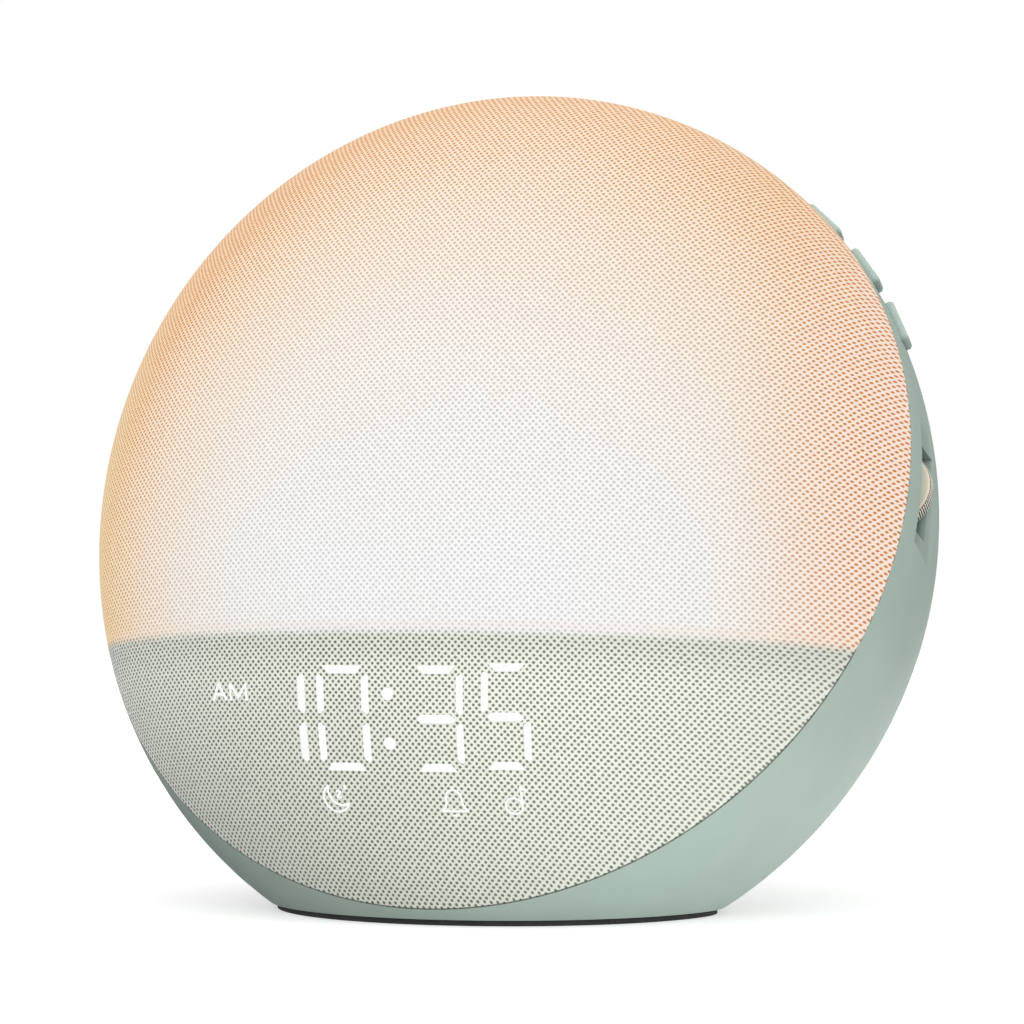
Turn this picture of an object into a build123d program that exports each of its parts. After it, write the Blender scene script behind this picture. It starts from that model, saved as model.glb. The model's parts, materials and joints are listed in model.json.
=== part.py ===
from build123d import *
import os
from math import acos, asin, cos, radians, sin, tan

# Sunrise alarm clock: a ball-like housing with a flat base, closed in front by a domed,
# fabric-covered diffuser that leans back. Millimetres. The origin is the centre of the
# foot's underside, +Z is up and the lit front faces -Y.

# ---- outer form: arcs in a section through the panel's axis --------------------------
rim_half_width = 85.0       # rim between the fabric front and the housing, across
rim_half_height = 92.0      # the same rim, measured up the leaning front
rim_height = 85.1           # centre of the rim above the table
rim_setback = 6.5           # centre of the rim behind the foot's centre
lean = radians(27.4)        # how far the front leans back

dome_edge_slope = radians(75.8)     # the dome's slope where it leaves the rim
dome_edge_radius = 76.3
crown_slope = radians(24.7)         # slope at which the flatter crown takes over

wall_slope = radians(102.3)         # above a right angle: the wall flares out from the rim
wall_arc_radius = 77.8
shoulder_slope = radians(77.3)
shoulder_radius = 38.2
back_slope = radians(20.0)          # slope at which the flatter back takes over

stretch = rim_half_height / rim_half_width

# ---- shells ---------------------------------------------------------------------------
wall = 2.5
fabric_thickness = 0.9
fabric_gap = 0.15           # fabric to the diffuser under it
diffuser_thickness = 2.2
rim_gap = 0.4               # shadow line between the housing's lip and the fabric
fit_gap = 0.3               # between pieces that are dropped into one another
small_gap = 0.05            # around screws, pins and light guides

ring_bore = 76.5            # front ring, across its opening
ring_depth = 4.0
foot_thickness = 1.2
foot_inset = 1.5            # foot's edge in from the housing's lower edge
base_thickness = 2.5

# ---- keys -----------------------------------------------------------------------------
band_depth = 13.75          # keys, wheel and thumb recess lie on one line behind the rim
key_names = ["lower", "middle", "upper"]
first_key_angle = 26.7      # degrees above the widest point of the rim
key_pitch = 9.9             # degrees from key to key
key_length = 10.4
key_width = 5.2             # the part outside, which stands at the flange's front side
key_rise = 1.2              # proud of the housing
key_travel = 1.0
key_corner = 1.2
key_edge = 0.5
key_gap = 0.3               # in its window
key_flange_lip = 0.9
key_flange_width = 15.8
key_flange_thickness = 1.2
key_stem_radius = 2.0
key_stem_length = 1.0
dome_height = 2.2           # silicone return dome
dome_top_radius = 2.3
dome_foot_radius = 3.6
dome_wall = 0.7
strip_thickness = 0.3       # flexible contact strip
strip_width = 11.0
bracket_thickness = 2.0
bracket_width = 12.0
bracket_ear = 7.0           # how far the key bracket runs past its end keys

# ---- scroll wheel ---------------------------------------------------------------------
wheel_radius = 9.0
wheel_thickness = 3.6
wheel_reach = 86.9          # how far its rim stands from the panel's axis
wheel_rise = 5.9            # its axle above the rim's centre line
rib_count = 46
rib_depth = 0.4
wheel_flange = 0.5          # plain band each side of the ribs
axle_radius = 1.5
axle_running_gap = 0.05
recess_floor = 84.2         # thumb recess: deepest place of its floor, from the panel's axis
recess_curve = 40.0         # the floor curves back up to the housing's outer face
recess_width = 14.5
recess_bottom = -9.6
recess_top = 22.0
recess_backing = 1.5
slot_width = 5.8
slot_bottom = -4.2
slot_top = 14.6
cheek_thickness = 1.5
cheek_gap = 0.9             # wheel to the bracket's cheeks
cheek_half_height = 8.0
web_place = 66.5            # bracket web from the panel's axis
encoder_size = 8.4
encoder_depth = 5.0

# ---- lit front ------------------------------------------------------------------------
horizon_height = 52.6       # light shelf's upper face at its back end
horizon_back = -10.8        # where that height is taken, in front of the foot's centre
horizon_tilt = radians(4.0)
shelf_thickness = 1.6
tub_depth = 12.0
tub_floor_radius = 60.0
tub_mouth_radius = 75.5
tub_flange_radius = 80.4
tub_thickness = 1.2
led_board_radius = 61.0
board_thickness = 1.6
led_size = 5.0
led_height = 1.6
led_window = 6.0
warm_ring_radius = 51.0
cool_ring_radius = 30.0

# ---- display --------------------------------------------------------------------------
digit_height = 18.0         # between the middles of the top and bottom strokes
digit_width = 9.1
digit_middle = 40.0         # height of the middle strokes above the table
digit_pitch = 13.2
digit_inner_place = 8.9     # middle of the two inner digits from the colon
display_shift = 0.8
stroke = 1.55
stroke_gap = 0.45
colon_radius = 1.3
colon_spacing = 9.1
shown_digits = ["bc", "abcdef", "abcdg", "acdfg"]      # 10:35
mark_stroke = 0.5
mark_height = 44.6          # middle of the AM mark
mark_place = -34.2
mark_size = 3.4
icon_height = 24.9
icon_places = {"moon": -12.0, "bell": 11.6, "note": 22.4}
display_face = -34.0        # front face of the display board
display_half_width = 38.5
display_bottom = 20.0
display_top = 51.0
display_margin = 1.5        # board wider than the mask all round
lamp_room = 1.2             # board to the back of the light guides
lamp_size = 1.0

# ---- base, main board -----------------------------------------------------------------
board_level = 15.5          # underside of the main board
board_half_width = 32.0
board_front = -20.0
board_back = 37.0
standoff_radius = 3.0
standoff_place_x = 27.5
standoff_front = -15.5
standoff_back = 23.5
screw_radius = 0.85
screw_head_radius = 1.7
screw_head_height = 1.3
base_screw_place_x = 35.0
base_screw_front = -6.0
base_screw_back = 16.0
boss_radius = 3.5
boss_top = 13.5
base_screw_length = 9.0

cell_radius = 10.0
cell_height = 3.2
cell_x = 12.0
cell_y = -4.0
cell_lift = 1.0
chip_height = 1.2
capacitor_radius = 3.15
capacitor_height = 8.0
header_width = 8.0
header_length = 4.5
header_height = 5.0

# ---- power inlet ----------------------------------------------------------------------
jack_width = 9.0
jack_face = 43.0            # mouth of the socket behind the foot's centre
jack_length = 12.0
jack_height = 10.0
jack_bore = 3.0
jack_bore_depth = 9.0
jack_pin_radius = 1.0
collar_bore = 5.5
collar_wall = 1.8

# ---- speaker --------------------------------------------------------------------------
speaker_radius = 26.0
speaker_screw_place = 23.3
seat_place = 67.0           # speaker seat behind the rim plane
gasket_thickness = 0.8
speaker_flange = 1.2
cone_radius = 17.5
surround_radius = 19.5
basket_depth = 15.0
basket_back_radius = 14.0
basket_wall = 1.2
cone_setback = 0.3          # cone and surround behind the flange's face
paper_thickness = 0.6
magnet_radius = 15.0
magnet_depth = 8.0
coil_radius = 6.0
grille_hole_radius = 0.9
grille_pitch = 3.3
grille_rings = 5

panel = Plane(origin=(0, rim_setback, rim_height), x_dir=(1, 0, 0),
              z_dir=(0, -cos(lean), sin(lean)))
big = 400.0


# ---- outer form -----------------------------------------------------------------------
def dome_arcs():
    """Edge and crown of the dome: (centre r, centre w, radius, last slope)."""
    edge_r = rim_half_width - dome_edge_radius * sin(dome_edge_slope)
    edge_w = -dome_edge_radius * cos(dome_edge_slope)
    meet = edge_r + dome_edge_radius * sin(crown_slope)
    crown_radius = meet / sin(crown_slope)
    crown_w = edge_w + (dome_edge_radius - crown_radius) * cos(crown_slope)
    return [(edge_r, edge_w, dome_edge_radius, crown_slope), (0, crown_w, crown_radius, 0)]


def back_arcs():
    """Wall, shoulder and back of the housing, with depth behind the rim as w."""
    wall_r = rim_half_width - wall_arc_radius * sin(wall_slope)
    wall_w = -wall_arc_radius * cos(wall_slope)
    step = wall_arc_radius - shoulder_radius
    shoulder_r = wall_r + step * sin(shoulder_slope)
    shoulder_w = wall_w + step * cos(shoulder_slope)
    meet = shoulder_r + shoulder_radius * sin(back_slope)
    back_radius = meet / sin(back_slope)
    back_w = shoulder_w + (shoulder_radius - back_radius) * cos(back_slope)
    return [(wall_r, wall_w, wall_arc_radius, shoulder_slope),
            (shoulder_r, shoulder_w, shoulder_radius, back_slope),
            (0, back_w, back_radius, 0)]


def form(arcs, side, inset=0.0):
    """Solid from the rim plane to one face of the body, that face moved in by inset."""
    slope = acos(-arcs[0][1] / (arcs[0][2] - inset))
    edges = []
    for centre_r, centre_w, radius, last in arcs:
        reach = radius - inset
        points = []
        for angle in (slope, (slope + last) / 2, last):
            points.append((centre_r + reach * sin(angle), side * (centre_w + reach * cos(angle))))
        edges.append(ThreePointArc(*points))
        slope = last
    edges.append(Line(edges[-1] @ 1, (0, 0)))
    edges.append(Line((0, 0), edges[0] @ 0))
    body = revolve(Plane.XZ * make_face(edges), Axis.Z)
    return panel * scale(body, by=(1, stretch, 1))


def front_form(inset=0.0):
    return form(dome_arcs(), 1, inset)


def back_form(inset=0.0):
    return form(back_arcs(), -1, inset)


def wall_lean(depth):
    """How far the wall's normal leans towards the front, at a depth behind the rim."""
    centre_w, radius = back_arcs()[0][1:3]
    return asin((centre_w - depth) / radius)


def wall_radius(depth):
    """Distance of the housing's outer face from the panel's axis, across the wall arc."""
    centre_r, centre_w, radius, last = back_arcs()[0]
    return centre_r + radius * cos(wall_lean(depth))


def in_panel(u, v, w):
    return panel.location * Pos(u, v, w)


def oval(radius, w_low, w_high):
    """Elliptical disc about the panel's axis, between two distances from the rim plane."""
    disc = Pos(0, 0, (w_low + w_high) / 2) * Cylinder(radius, w_high - w_low)
    return panel * scale(disc, by=(1, stretch, 1))


def panel_slab(w_low, w_high):
    return in_panel(0, 0, (w_low + w_high) / 2) * Box(big, big, w_high - w_low)


def level_slab(low, high):
    return Pos(0, 0, (low + high) / 2) * Box(big, big, high - low)


def block(low, high):
    """Box between two corners."""
    size = [b - a for a, b in zip(low, high)]
    middle = [(a + b) / 2 for a, b in zip(low, high)]
    return Pos(*middle) * Box(*size)


def post(x, y, low, high, radius):
    return Pos(x, y, (low + high) / 2) * Cylinder(radius, high - low)


def screw(length, radius=screw_radius, head=screw_head_radius, head_height=screw_head_height):
    """Pan-head screw: head above the origin plane, shank below it, cross recess in the head."""
    shank = Pos(0, 0, -length / 2) * Cylinder(radius, length)
    top = Pos(0, 0, head_height / 2) * Cylinder(head, head_height)
    cross = Box(head * 1.2, head * 0.3, head_height) + Box(head * 0.3, head * 1.2, head_height)
    return shank + top - Pos(0, 0, head_height) * cross


# ---- places shared by several pieces ----------------------------------------------------
def side_frame(angle, depth=band_depth):
    """Location on the housing's side: z outwards, x round the rim, y towards the front."""
    turn = radians(angle)
    radius = wall_radius(depth)
    flat = Vector(cos(turn), sin(turn) / stretch, 0).normalized()
    rise = wall_lean(depth)
    place = Plane(origin=(radius * cos(turn), radius * stretch * sin(turn), -depth),
                  x_dir=(-flat.Y, flat.X, 0), z_dir=flat * cos(rise) + Vector(0, 0, sin(rise)))
    return panel.location * place.location


def key_angles():
    return [first_key_angle + key_pitch * i for i in range(len(key_names))]


key_sag = ((key_length / 2 + key_flange_lip) ** 2 / (2 * (rim_half_width - wall))
           + (key_flange_width / 2) ** 2 / (2 * (wall_arc_radius - wall)))
key_shift = key_flange_width / 2 - key_flange_lip - key_width / 2
key_flange_top = -(wall + key_sag + fit_gap)
key_stem_top = key_flange_top - key_flange_thickness
dome_top = key_stem_top - key_stem_length
strip_top = dome_top - dome_height
bracket_top = strip_top - strip_thickness
wheel_place = wheel_reach - wheel_radius
cheek_place = wheel_thickness / 2 + cheek_gap
base_top = foot_thickness + base_thickness
board_top = board_level + board_thickness
jack_axis_height = board_top + jack_height / 2
inner_face = fabric_thickness + fabric_gap + diffuser_thickness
tub_top = rim_gap + tub_thickness
tub_floor = -tub_depth
led_board_face = tub_floor - fit_gap
shelf_angle = lean - horizon_tilt


def shelf_location():
    """Horizon plane: its z axis points up out of the shelf's upper face."""
    place = Plane(origin=(0, horizon_back, horizon_height), x_dir=(1, 0, 0),
                  z_dir=(0, sin(horizon_tilt), cos(horizon_tilt)))
    return place.location


def over_shelf(lift=0.0):
    return shelf_location() * Pos(0, 0, big / 2 + lift) * Box(big, big, big)


def shelf_v(w):
    """Where the horizon plane cuts the panel's middle line, at a distance from the rim."""
    drop = horizon_height - rim_height
    run = horizon_back - rim_setback
    v = run * sin(lean) + drop * cos(lean)
    start = -run * cos(lean) + drop * sin(lean)
    return v - (w - start) * tan(shelf_angle)


# ---- housing ----------------------------------------------------------------------------
def base_boss_places():
    return [(x, y) for x in (-base_screw_place_x, base_screw_place_x)
            for y in (base_screw_front, base_screw_back)]


def wheel_boss_places():
    reach = wheel_radius + boss_radius
    return [wheel_rise - reach, wheel_rise + reach]


def key_boss_frames():
    """In the plane of the first and last key, past their flanges, z outwards."""
    reach = key_length / 2 + key_flange_lip + bracket_ear / 2
    angles = key_angles()
    return [side_frame(angles[0]) * Pos(-reach, 0, 0), side_frame(angles[-1]) * Pos(reach, 0, 0)]


def grille_places():
    """Hexagonal field of hole centres, ring by ring."""
    places = []
    for row in range(-grille_rings, grille_rings + 1):
        count = 2 * grille_rings + 1 - abs(row)
        for column in range(count):
            x = (column - (count - 1) / 2) * grille_pitch
            places.append((x, row * grille_pitch * cos(radians(30))))
    return places


def speaker_screw_places():
    spread = [45, 135, 225, 315]
    return [(speaker_screw_place * cos(radians(a)), speaker_screw_place * sin(radians(a)))
            for a in spread]


def housing_supports():
    """Bosses, seats and thicker places inside the shell, before they are bored."""
    inside = []
    for x, y in base_boss_places():
        side = 1 if x > 0 else -1
        inside.append(post(x, y, base_top + fit_gap, boss_top, boss_radius))
        low_corner = (min(x, side * rim_half_width), y - wall / 2, base_top + wall)
        high_corner = (max(x, side * rim_half_width), y + wall / 2, boss_top - wall)
        inside.append(block(low_corner, high_corner))
    for v in wheel_boss_places():
        length = rim_half_width - web_place
        boss = in_panel(web_place + length / 2, v, -band_depth) * Rot(0, 90, 0)
        inside.append(boss * Cylinder(boss_radius - screw_radius, length))
    for frame in key_boss_frames():
        inside.append(frame * Pos(0, 0, bracket_top / 2)
                      * Cylinder(boss_radius - screw_radius, -bracket_top))
    for frame in ring_screw_frames():
        boss = Cylinder(boss_radius - screw_radius, base_screw_length)
        web = Pos(boss_radius, 0, 0) * Box(2 * boss_radius, wall, base_screw_length)
        middle = Pos(0, 0, -ring_depth - fit_gap - base_screw_length / 2)
        inside.append(frame * middle * (boss + web))
    backing = block((recess_floor - recess_backing, recess_bottom - wall,
                     -band_depth - recess_width / 2 - wall),
                    (big / 4, recess_top, -band_depth + recess_width / 2 + wall))
    inside.append(panel * backing)
    seat = Cylinder(speaker_radius, big / 20) - Cylinder(surround_radius, big / 20)
    inside.append(in_panel(0, 0, -seat_place - big / 40) * seat)
    collar_start = jack_face + fit_gap
    inside.append(Pos(0, collar_start + big / 40, jack_axis_height) * Rot(90, 0, 0)
                  * Cylinder(collar_bore + collar_wall, big / 20))
    return inside


def housing_openings():
    """Everything that is cut out of the housing."""
    holes = []
    for angle in key_angles():
        window = Box(key_length + 2 * key_gap, key_width + 2 * key_gap, 4 * wall)
        window = fillet(window.edges().filter_by(Axis.Z), key_corner + key_gap)
        holes.append(side_frame(angle) * Pos(0, key_shift, 0) * window)
    front_edge = -band_depth + recess_width / 2
    curve = Pos(recess_floor + recess_curve, (recess_bottom + big / 8) / 2, front_edge)
    recess = curve * Rot(90, 0, 0) * Cylinder(recess_curve, big / 8 - recess_bottom)
    recess &= block((0, recess_bottom, front_edge - big / 4), (big / 2, big / 8, front_edge))
    slot_low = -band_depth - slot_width / 2
    slot = block((recess_floor - 2 * wall, slot_bottom, slot_low),
                 (big / 4, slot_top, slot_low + slot_width))
    holes.append(panel * recess)
    holes.append(panel * slot)
    bore = screw_radius + small_gap
    for x, y in base_boss_places():
        holes.append(post(x, y, base_top, boss_top - wall / 2, bore))
    for v in wheel_boss_places():
        depth = base_screw_length
        holes.append(in_panel(web_place + depth / 2, v, -band_depth) * Rot(0, 90, 0)
                     * Cylinder(bore, depth))
    for frame in key_boss_frames():
        depth = -bracket_top - wall
        holes.append(frame * Pos(0, 0, bracket_top + depth / 2) * Cylinder(bore, depth))
    for frame in ring_screw_frames():
        holes.append(frame * Pos(0, 0, -ring_depth - base_screw_length / 2)
                     * Cylinder(bore, base_screw_length))
    for x, y in speaker_screw_places():
        holes.append(in_panel(x, y, -seat_place - wall / 2) * Cylinder(bore, wall))
    for x, y in grille_places():
        holes.append(in_panel(x, y, -seat_place) * Cylinder(grille_hole_radius, big / 10))
    holes.append(Pos(0, jack_face + big / 20, jack_axis_height) * Rot(90, 0, 0)
                 * Cylinder(collar_bore, big / 10))
    return holes


def make_housing():
    """Rear shell with its flat base opening, key windows, recess, grille and inlet."""
    outside = back_form()
    shell = outside - back_form(wall)
    for support in housing_supports():
        shell += support & outside
    for hole in housing_openings():
        shell -= hole
    return shell & level_slab(foot_thickness, big / 2)


# ---- front ------------------------------------------------------------------------------
def make_fabric():
    skin = front_form() - front_form(fabric_thickness)
    return skin & panel_slab(rim_gap, big / 2)


def make_diffuser():
    skin = front_form(fabric_thickness + fabric_gap) - front_form(inner_face)
    return skin & panel_slab(rim_gap, big / 2)


def tub_screw_places():
    """On the tub's flange and the front ring, in the panel's own directions."""
    radius = (ring_bore + tub_flange_radius) / 2
    return [(radius * cos(radians(a)), radius * stretch * sin(radians(a)))
            for a in (5, 60, 120, 175)]


def ring_screw_frames():
    """Places on the front ring, x outwards and z along the panel's axis."""
    radius = (ring_bore + rim_half_width - wall) / 2
    frames = []
    for angle in (-30, 70, 150, 210):
        turn = radians(angle)
        outward = (cos(turn), sin(turn) / stretch, 0)
        place = Plane(origin=(radius * cos(turn), radius * stretch * sin(turn), 0),
                      x_dir=outward, z_dir=(0, 0, 1))
        frames.append(panel.location * place.location)
    return frames


def make_front_ring():
    """Ring in the housing's mouth that carries the diffuser and the reflector tub."""
    inner = back_form(wall + fit_gap) & panel_slab(-ring_depth, 0)
    lip = front_form(fabric_thickness + fabric_gap) & panel_slab(0, rim_gap)
    ring = inner + lip - oval(ring_bore, -ring_depth - 1, rim_gap + 1)
    for x, y in tub_screw_places():
        ring -= in_panel(x, y, rim_gap) * Cylinder(screw_radius + small_gap, ring_depth)
    head_room = screw_head_height + small_gap
    for frame in ring_screw_frames():
        ring -= frame * Cylinder(screw_radius + small_gap, 3 * ring_depth)
        ring -= frame * Cylinder(screw_head_radius + small_gap, 2 * head_room)
    return ring & level_slab(base_top + fit_gap, big / 2)


def make_ring_screws():
    level = -screw_head_height - small_gap
    return Compound(children=[frame * Pos(0, 0, level) * screw(base_screw_length)
                              for frame in ring_screw_frames()])


def make_shelf():
    """Opaque shelf between the lit sunrise and the dark display."""
    slab = shelf_location() * Pos(0, 0, -shelf_thickness / 2) * Box(big, big, shelf_thickness)
    front = front_form(inner_face + fit_gap) & panel_slab(tub_top + fit_gap, big / 2)
    return slab & front


def led_places(radius, count, start, stop):
    step = (stop - start) / (count - 1)
    angles = [radians(start + step * i) for i in range(count)]
    return [(radius * cos(a), radius * stretch * sin(a)) for a in angles]


def warm_led_places():
    return led_places(warm_ring_radius, 11, -10, 190)


def cool_led_places():
    low = shelf_v(tub_floor) + led_window + 2 * tub_thickness
    row = [(x, low) for x in (-30, -10, 10, 30)]
    return led_places(cool_ring_radius, 5, 20, 160) + row


def tub_form(outer):
    """Dish of the reflector tub, as its outer volume or the volume that it holds."""
    skin = 0 if outer else tub_thickness
    floor = tub_floor + skin
    points = [(0, floor), (tub_floor_radius - skin, floor), (tub_mouth_radius - skin, rim_gap),
              (tub_mouth_radius - skin, tub_top), (0, tub_top)]
    dish = revolve(Plane.XZ * make_face(Polyline(*points, close=True)), Axis.Z)
    return panel * scale(dish, by=(1, stretch, 1))


def make_tub():
    """White reflector tub behind the lit zone, with windows for its lamps."""
    volume = tub_form(True) + oval(tub_flange_radius, rim_gap, tub_top)
    shell = (volume - tub_form(False)) & over_shelf()
    sill = shelf_location() * Pos(0, 0, tub_thickness / 2) * Box(big, big, tub_thickness)
    shell += sill & volume
    for x, y in warm_led_places() + cool_led_places():
        shell -= in_panel(x, y, tub_floor) * Box(led_window, led_window, 4 * tub_thickness)
    for x, y in tub_screw_places():
        shell -= in_panel(x, y, tub_top) * Cylinder(screw_radius + small_gap, 3 * tub_thickness)
    for x, y in led_board_screw_places():
        shell -= in_panel(x, y, tub_floor) * Cylinder(screw_radius + small_gap, 3 * tub_thickness)
    return shell


def led_board_screw_places():
    return led_places((warm_ring_radius + cool_ring_radius) / 2, 4, 10, 170)


def make_led_board():
    low = led_board_face - board_thickness
    board = oval(led_board_radius, low, led_board_face) & over_shelf(tub_thickness)
    for x, y in led_board_screw_places():
        board -= in_panel(x, y, low) * Cylinder(screw_radius + small_gap, 3 * board_thickness)
    return board


def make_leds(places):
    lamps = []
    for x, y in places:
        case = in_panel(x, y, led_board_face + led_height / 2)
        lamp = case * Box(led_size, led_size, led_height)
        well = in_panel(x, y, led_board_face + led_height)
        lamps.append(lamp - well * Cylinder(led_size * 0.36, led_height / 2))
    return Compound(children=lamps)


def make_tub_screws():
    length = ring_depth / 2 + tub_thickness
    return Compound(children=[in_panel(x, y, tub_top) * screw(length)
                              for x, y in tub_screw_places()])


def make_led_board_screws():
    length = board_thickness + fit_gap + tub_thickness
    back = led_board_face - board_thickness
    return Compound(children=[in_panel(x, y, back) * Rot(180, 0, 0) * screw(length)
                              for x, y in led_board_screw_places()])


# ---- display ----------------------------------------------------------------------------
def bar(length, standing, grow):
    """One stroke of a digit: a bar with pointed ends."""
    side = stroke / 2 + grow
    half = length / 2 + grow * 1.5
    points = [(-half, 0), (-half + side, side), (half - side, side),
              (half, 0), (half - side, -side), (-half + side, -side)]
    face = make_face(Polyline(*points, close=True))
    return Rot(0, 0, 90) * face if standing else face


def digit_places():
    outer = digit_inner_place + digit_pitch
    return [display_shift + x for x in (-outer, -digit_inner_place, digit_inner_place, outer)]


def stroke_places(place):
    """Letter of each stroke of a digit to its middle, and whether it stands."""
    half = digit_height / 2
    side = digit_width / 2
    return {"a": (place, digit_middle + half, False),
            "b": (place + side, digit_middle + half / 2, True),
            "c": (place + side, digit_middle - half / 2, True),
            "d": (place, digit_middle - half, False),
            "e": (place - side, digit_middle - half / 2, True),
            "f": (place - side, digit_middle + half / 2, True),
            "g": (place, digit_middle, False)}


def digit_spots(lit):
    spots = []
    for place, shown in zip(digit_places(), shown_digits):
        for letter, spot in stroke_places(place).items():
            if (letter in shown) == lit:
                spots.append(spot)
    return spots


def digit_faces(lit, grow=0.0):
    faces = []
    for x, height, standing in digit_spots(lit):
        length = digit_height / 2 if standing else digit_width
        faces.append(Pos(x, height) * bar(length - stroke_gap, standing, grow))
    return faces


def colon_spots():
    return [(display_shift, digit_middle + side * colon_spacing / 2) for side in (-1, 1)]


def colon_faces(grow=0.0):
    return [Pos(x, height) * Circle(colon_radius + grow) for x, height in colon_spots()]


def mark_lines():
    """The morning mark, then moon, bell and note, each drawn as one open line."""
    half = mark_size / 2
    low = mark_height - half
    high = mark_height + half
    left = mark_place - half * 1.4
    right = mark_place + half * 1.4
    first = Polyline((left - half * 0.8, low), (left, high), (left + half * 0.8, low))
    second = Polyline((right - half, low), (right - half, high), (right, low + half * 0.5),
                      (right + half, high), (right + half, low))
    x = icon_places["moon"]
    moon = ThreePointArc((x + 1.0, icon_height + 2.2), (x - 2.2, icon_height),
                         (x + 1.8, icon_height - 1.6))
    x = icon_places["bell"]
    bell = Polyline((x - 2.2, icon_height - 1.8), (x - 1.4, icon_height - 0.6),
                    (x - 1.2, icon_height + 1.4), (x, icon_height + 2.4),
                    (x + 1.2, icon_height + 1.4), (x + 1.4, icon_height - 0.6),
                    (x + 2.2, icon_height - 1.8))
    x = icon_places["note"]
    note = Polyline((x - 1.0, icon_height - 2.0), (x + 0.6, icon_height - 1.4),
                    (x + 0.6, icon_height + 2.6), (x + 2.0, icon_height + 1.8))
    return [first, second, moon, bell, note]


def mark_faces(grow=0.0):
    return [trace(line, line_width=mark_stroke + 2 * grow) for line in mark_lines()]


def upright(face, forward):
    """A face drawn in x and height, pushed forward from the display board."""
    start = Plane(origin=(0, display_face, 0), x_dir=(1, 0, 0), z_dir=(0, -1, 0))
    return extrude(start * face, amount=forward)


def guide_set(faces):
    """Light guides from in front of their lamps to the inside of the diffuser."""
    clear = Pos(0, display_face - lamp_room - big / 2, 0) * Box(big, big, big)
    reach = front_form(inner_face + fit_gap) & clear
    guides = []
    for face in faces:
        guides.extend((upright(face, big / 4) & reach).solids())
    return Compound(children=guides)


def make_mask(faces):
    """Black block that keeps the light of the strokes apart."""
    low = (-display_half_width, -big / 4, display_bottom)
    high = (display_half_width, display_face, display_top)
    mask = block(low, high) & front_form(inner_face + fit_gap)
    for face in faces:
        mask -= upright(face, big / 4)
    return mask


def make_display_board():
    half = display_half_width + display_margin
    board = block((-half, display_face, display_bottom),
                  (half, display_face + board_thickness, display_top))
    return board & front_form(inner_face + fit_gap)


def make_display_lamps():
    """A small lamp on the board behind each light guide."""
    spots = [(x, height, lamp_size) for x, height, standing in digit_spots(True)]
    spots += [(x, height, lamp_size) for x, height, standing in digit_spots(False)]
    spots += [(x, height, lamp_size) for x, height in colon_spots()]
    for line in mark_lines():
        middle = line @ 0.5
        spots.append((middle.X, middle.Y, mark_stroke / 2))
    lamps = []
    for x, height, size in spots:
        low = (x - size / 2, display_face - lamp_room + fit_gap, height - size / 2)
        high = (x + size / 2, display_face, height + size / 2)
        lamps.append(block(low, high))
    return Compound(children=lamps)


# ---- base and electronics ---------------------------------------------------------------
def standoff_places():
    return [(x, y) for x in (-standoff_place_x, standoff_place_x)
            for y in (standoff_front, standoff_back)]


def make_foot():
    """Flat rubber pad that follows the housing's lower edge."""
    lower_slice = back_form() & level_slab(foot_thickness, base_top)
    lower_edge = lower_slice.faces().filter_by(Plane.XY).sort_by(Axis.Z)[0]
    size = lower_edge.bounding_box().size
    shrink = (1 - 2 * foot_inset / size.X, 1 - 2 * foot_inset / size.Y, 1)
    column = extrude(lower_edge, amount=2 * foot_thickness, dir=(0, 0, 1), both=True)
    return scale(column, by=shrink) & level_slab(0, foot_thickness)


def make_base_plate():
    plate = back_form(wall + fit_gap / 2) & level_slab(foot_thickness, base_top)
    for x, y in standoff_places():
        plate += post(x, y, base_top, board_level, standoff_radius)
        plate -= post(x, y, base_top, board_level, screw_radius + small_gap)
    for x, y in base_boss_places():
        plate -= post(x, y, foot_thickness, base_top, screw_radius + small_gap)
        head_room = foot_thickness + screw_head_height + small_gap
        plate -= post(x, y, foot_thickness, head_room, screw_head_radius + small_gap)
    return plate


def make_base_screws():
    level = foot_thickness + screw_head_height + small_gap
    return Compound(children=[Pos(x, y, level) * Rot(180, 0, 0) * screw(base_screw_length)
                              for x, y in base_boss_places()])


def make_main_board():
    board = block((-board_half_width, board_front, board_level),
                  (board_half_width, board_back, board_top))
    for x, y in standoff_places():
        board -= post(x, y, board_level, board_top, screw_radius + small_gap)
    return board


def make_board_screws():
    length = base_screw_length
    return Compound(children=[Pos(x, y, board_top) * screw(length)
                              for x, y in standoff_places()])


def on_board(x, y, width, length, height):
    return block((x - width / 2, y - length / 2, board_top),
                 (x + width / 2, y + length / 2, board_top + height))


def make_chips():
    """Processor, memory and sound amplifier."""
    return Compound(children=[on_board(-14, -6, 10, 10, chip_height),
                              on_board(-4, -10, 6, 5, chip_height),
                              on_board(-14, 12, 7, 7, chip_height)])


def make_capacitors():
    return Compound(children=[post(x, 28, board_top, board_top + capacitor_height,
                                   capacitor_radius) for x in (-20, -12)])


def header_places():
    """Plugs of the speaker, keys, lamps and display."""
    return [(13, 31), (23, 13), (-24, 0), (-24, -8)]


def make_connectors():
    headers = []
    rim = 0.8
    for x, y in header_places():
        header = on_board(x, y, header_width, header_length, header_height)
        well = on_board(x, y, header_width - 2 * rim, header_length - 2 * rim, header_height)
        headers.append(header - (well & level_slab(board_top + rim, big / 2)))
    return Compound(children=headers)


def make_cell_holder():
    side = 2 * cell_radius + 3
    holder = on_board(cell_x, cell_y, side, side, cell_lift + cell_height + 0.8)
    room = post(cell_x, cell_y, board_top + cell_lift, big / 4, cell_radius + small_gap)
    return holder - room


def make_cell():
    level = board_top + cell_lift
    disc = post(cell_x, cell_y, level, level + cell_height, cell_radius)
    return chamfer(disc.edges().group_by(Axis.Z)[0], 0.6)


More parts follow.
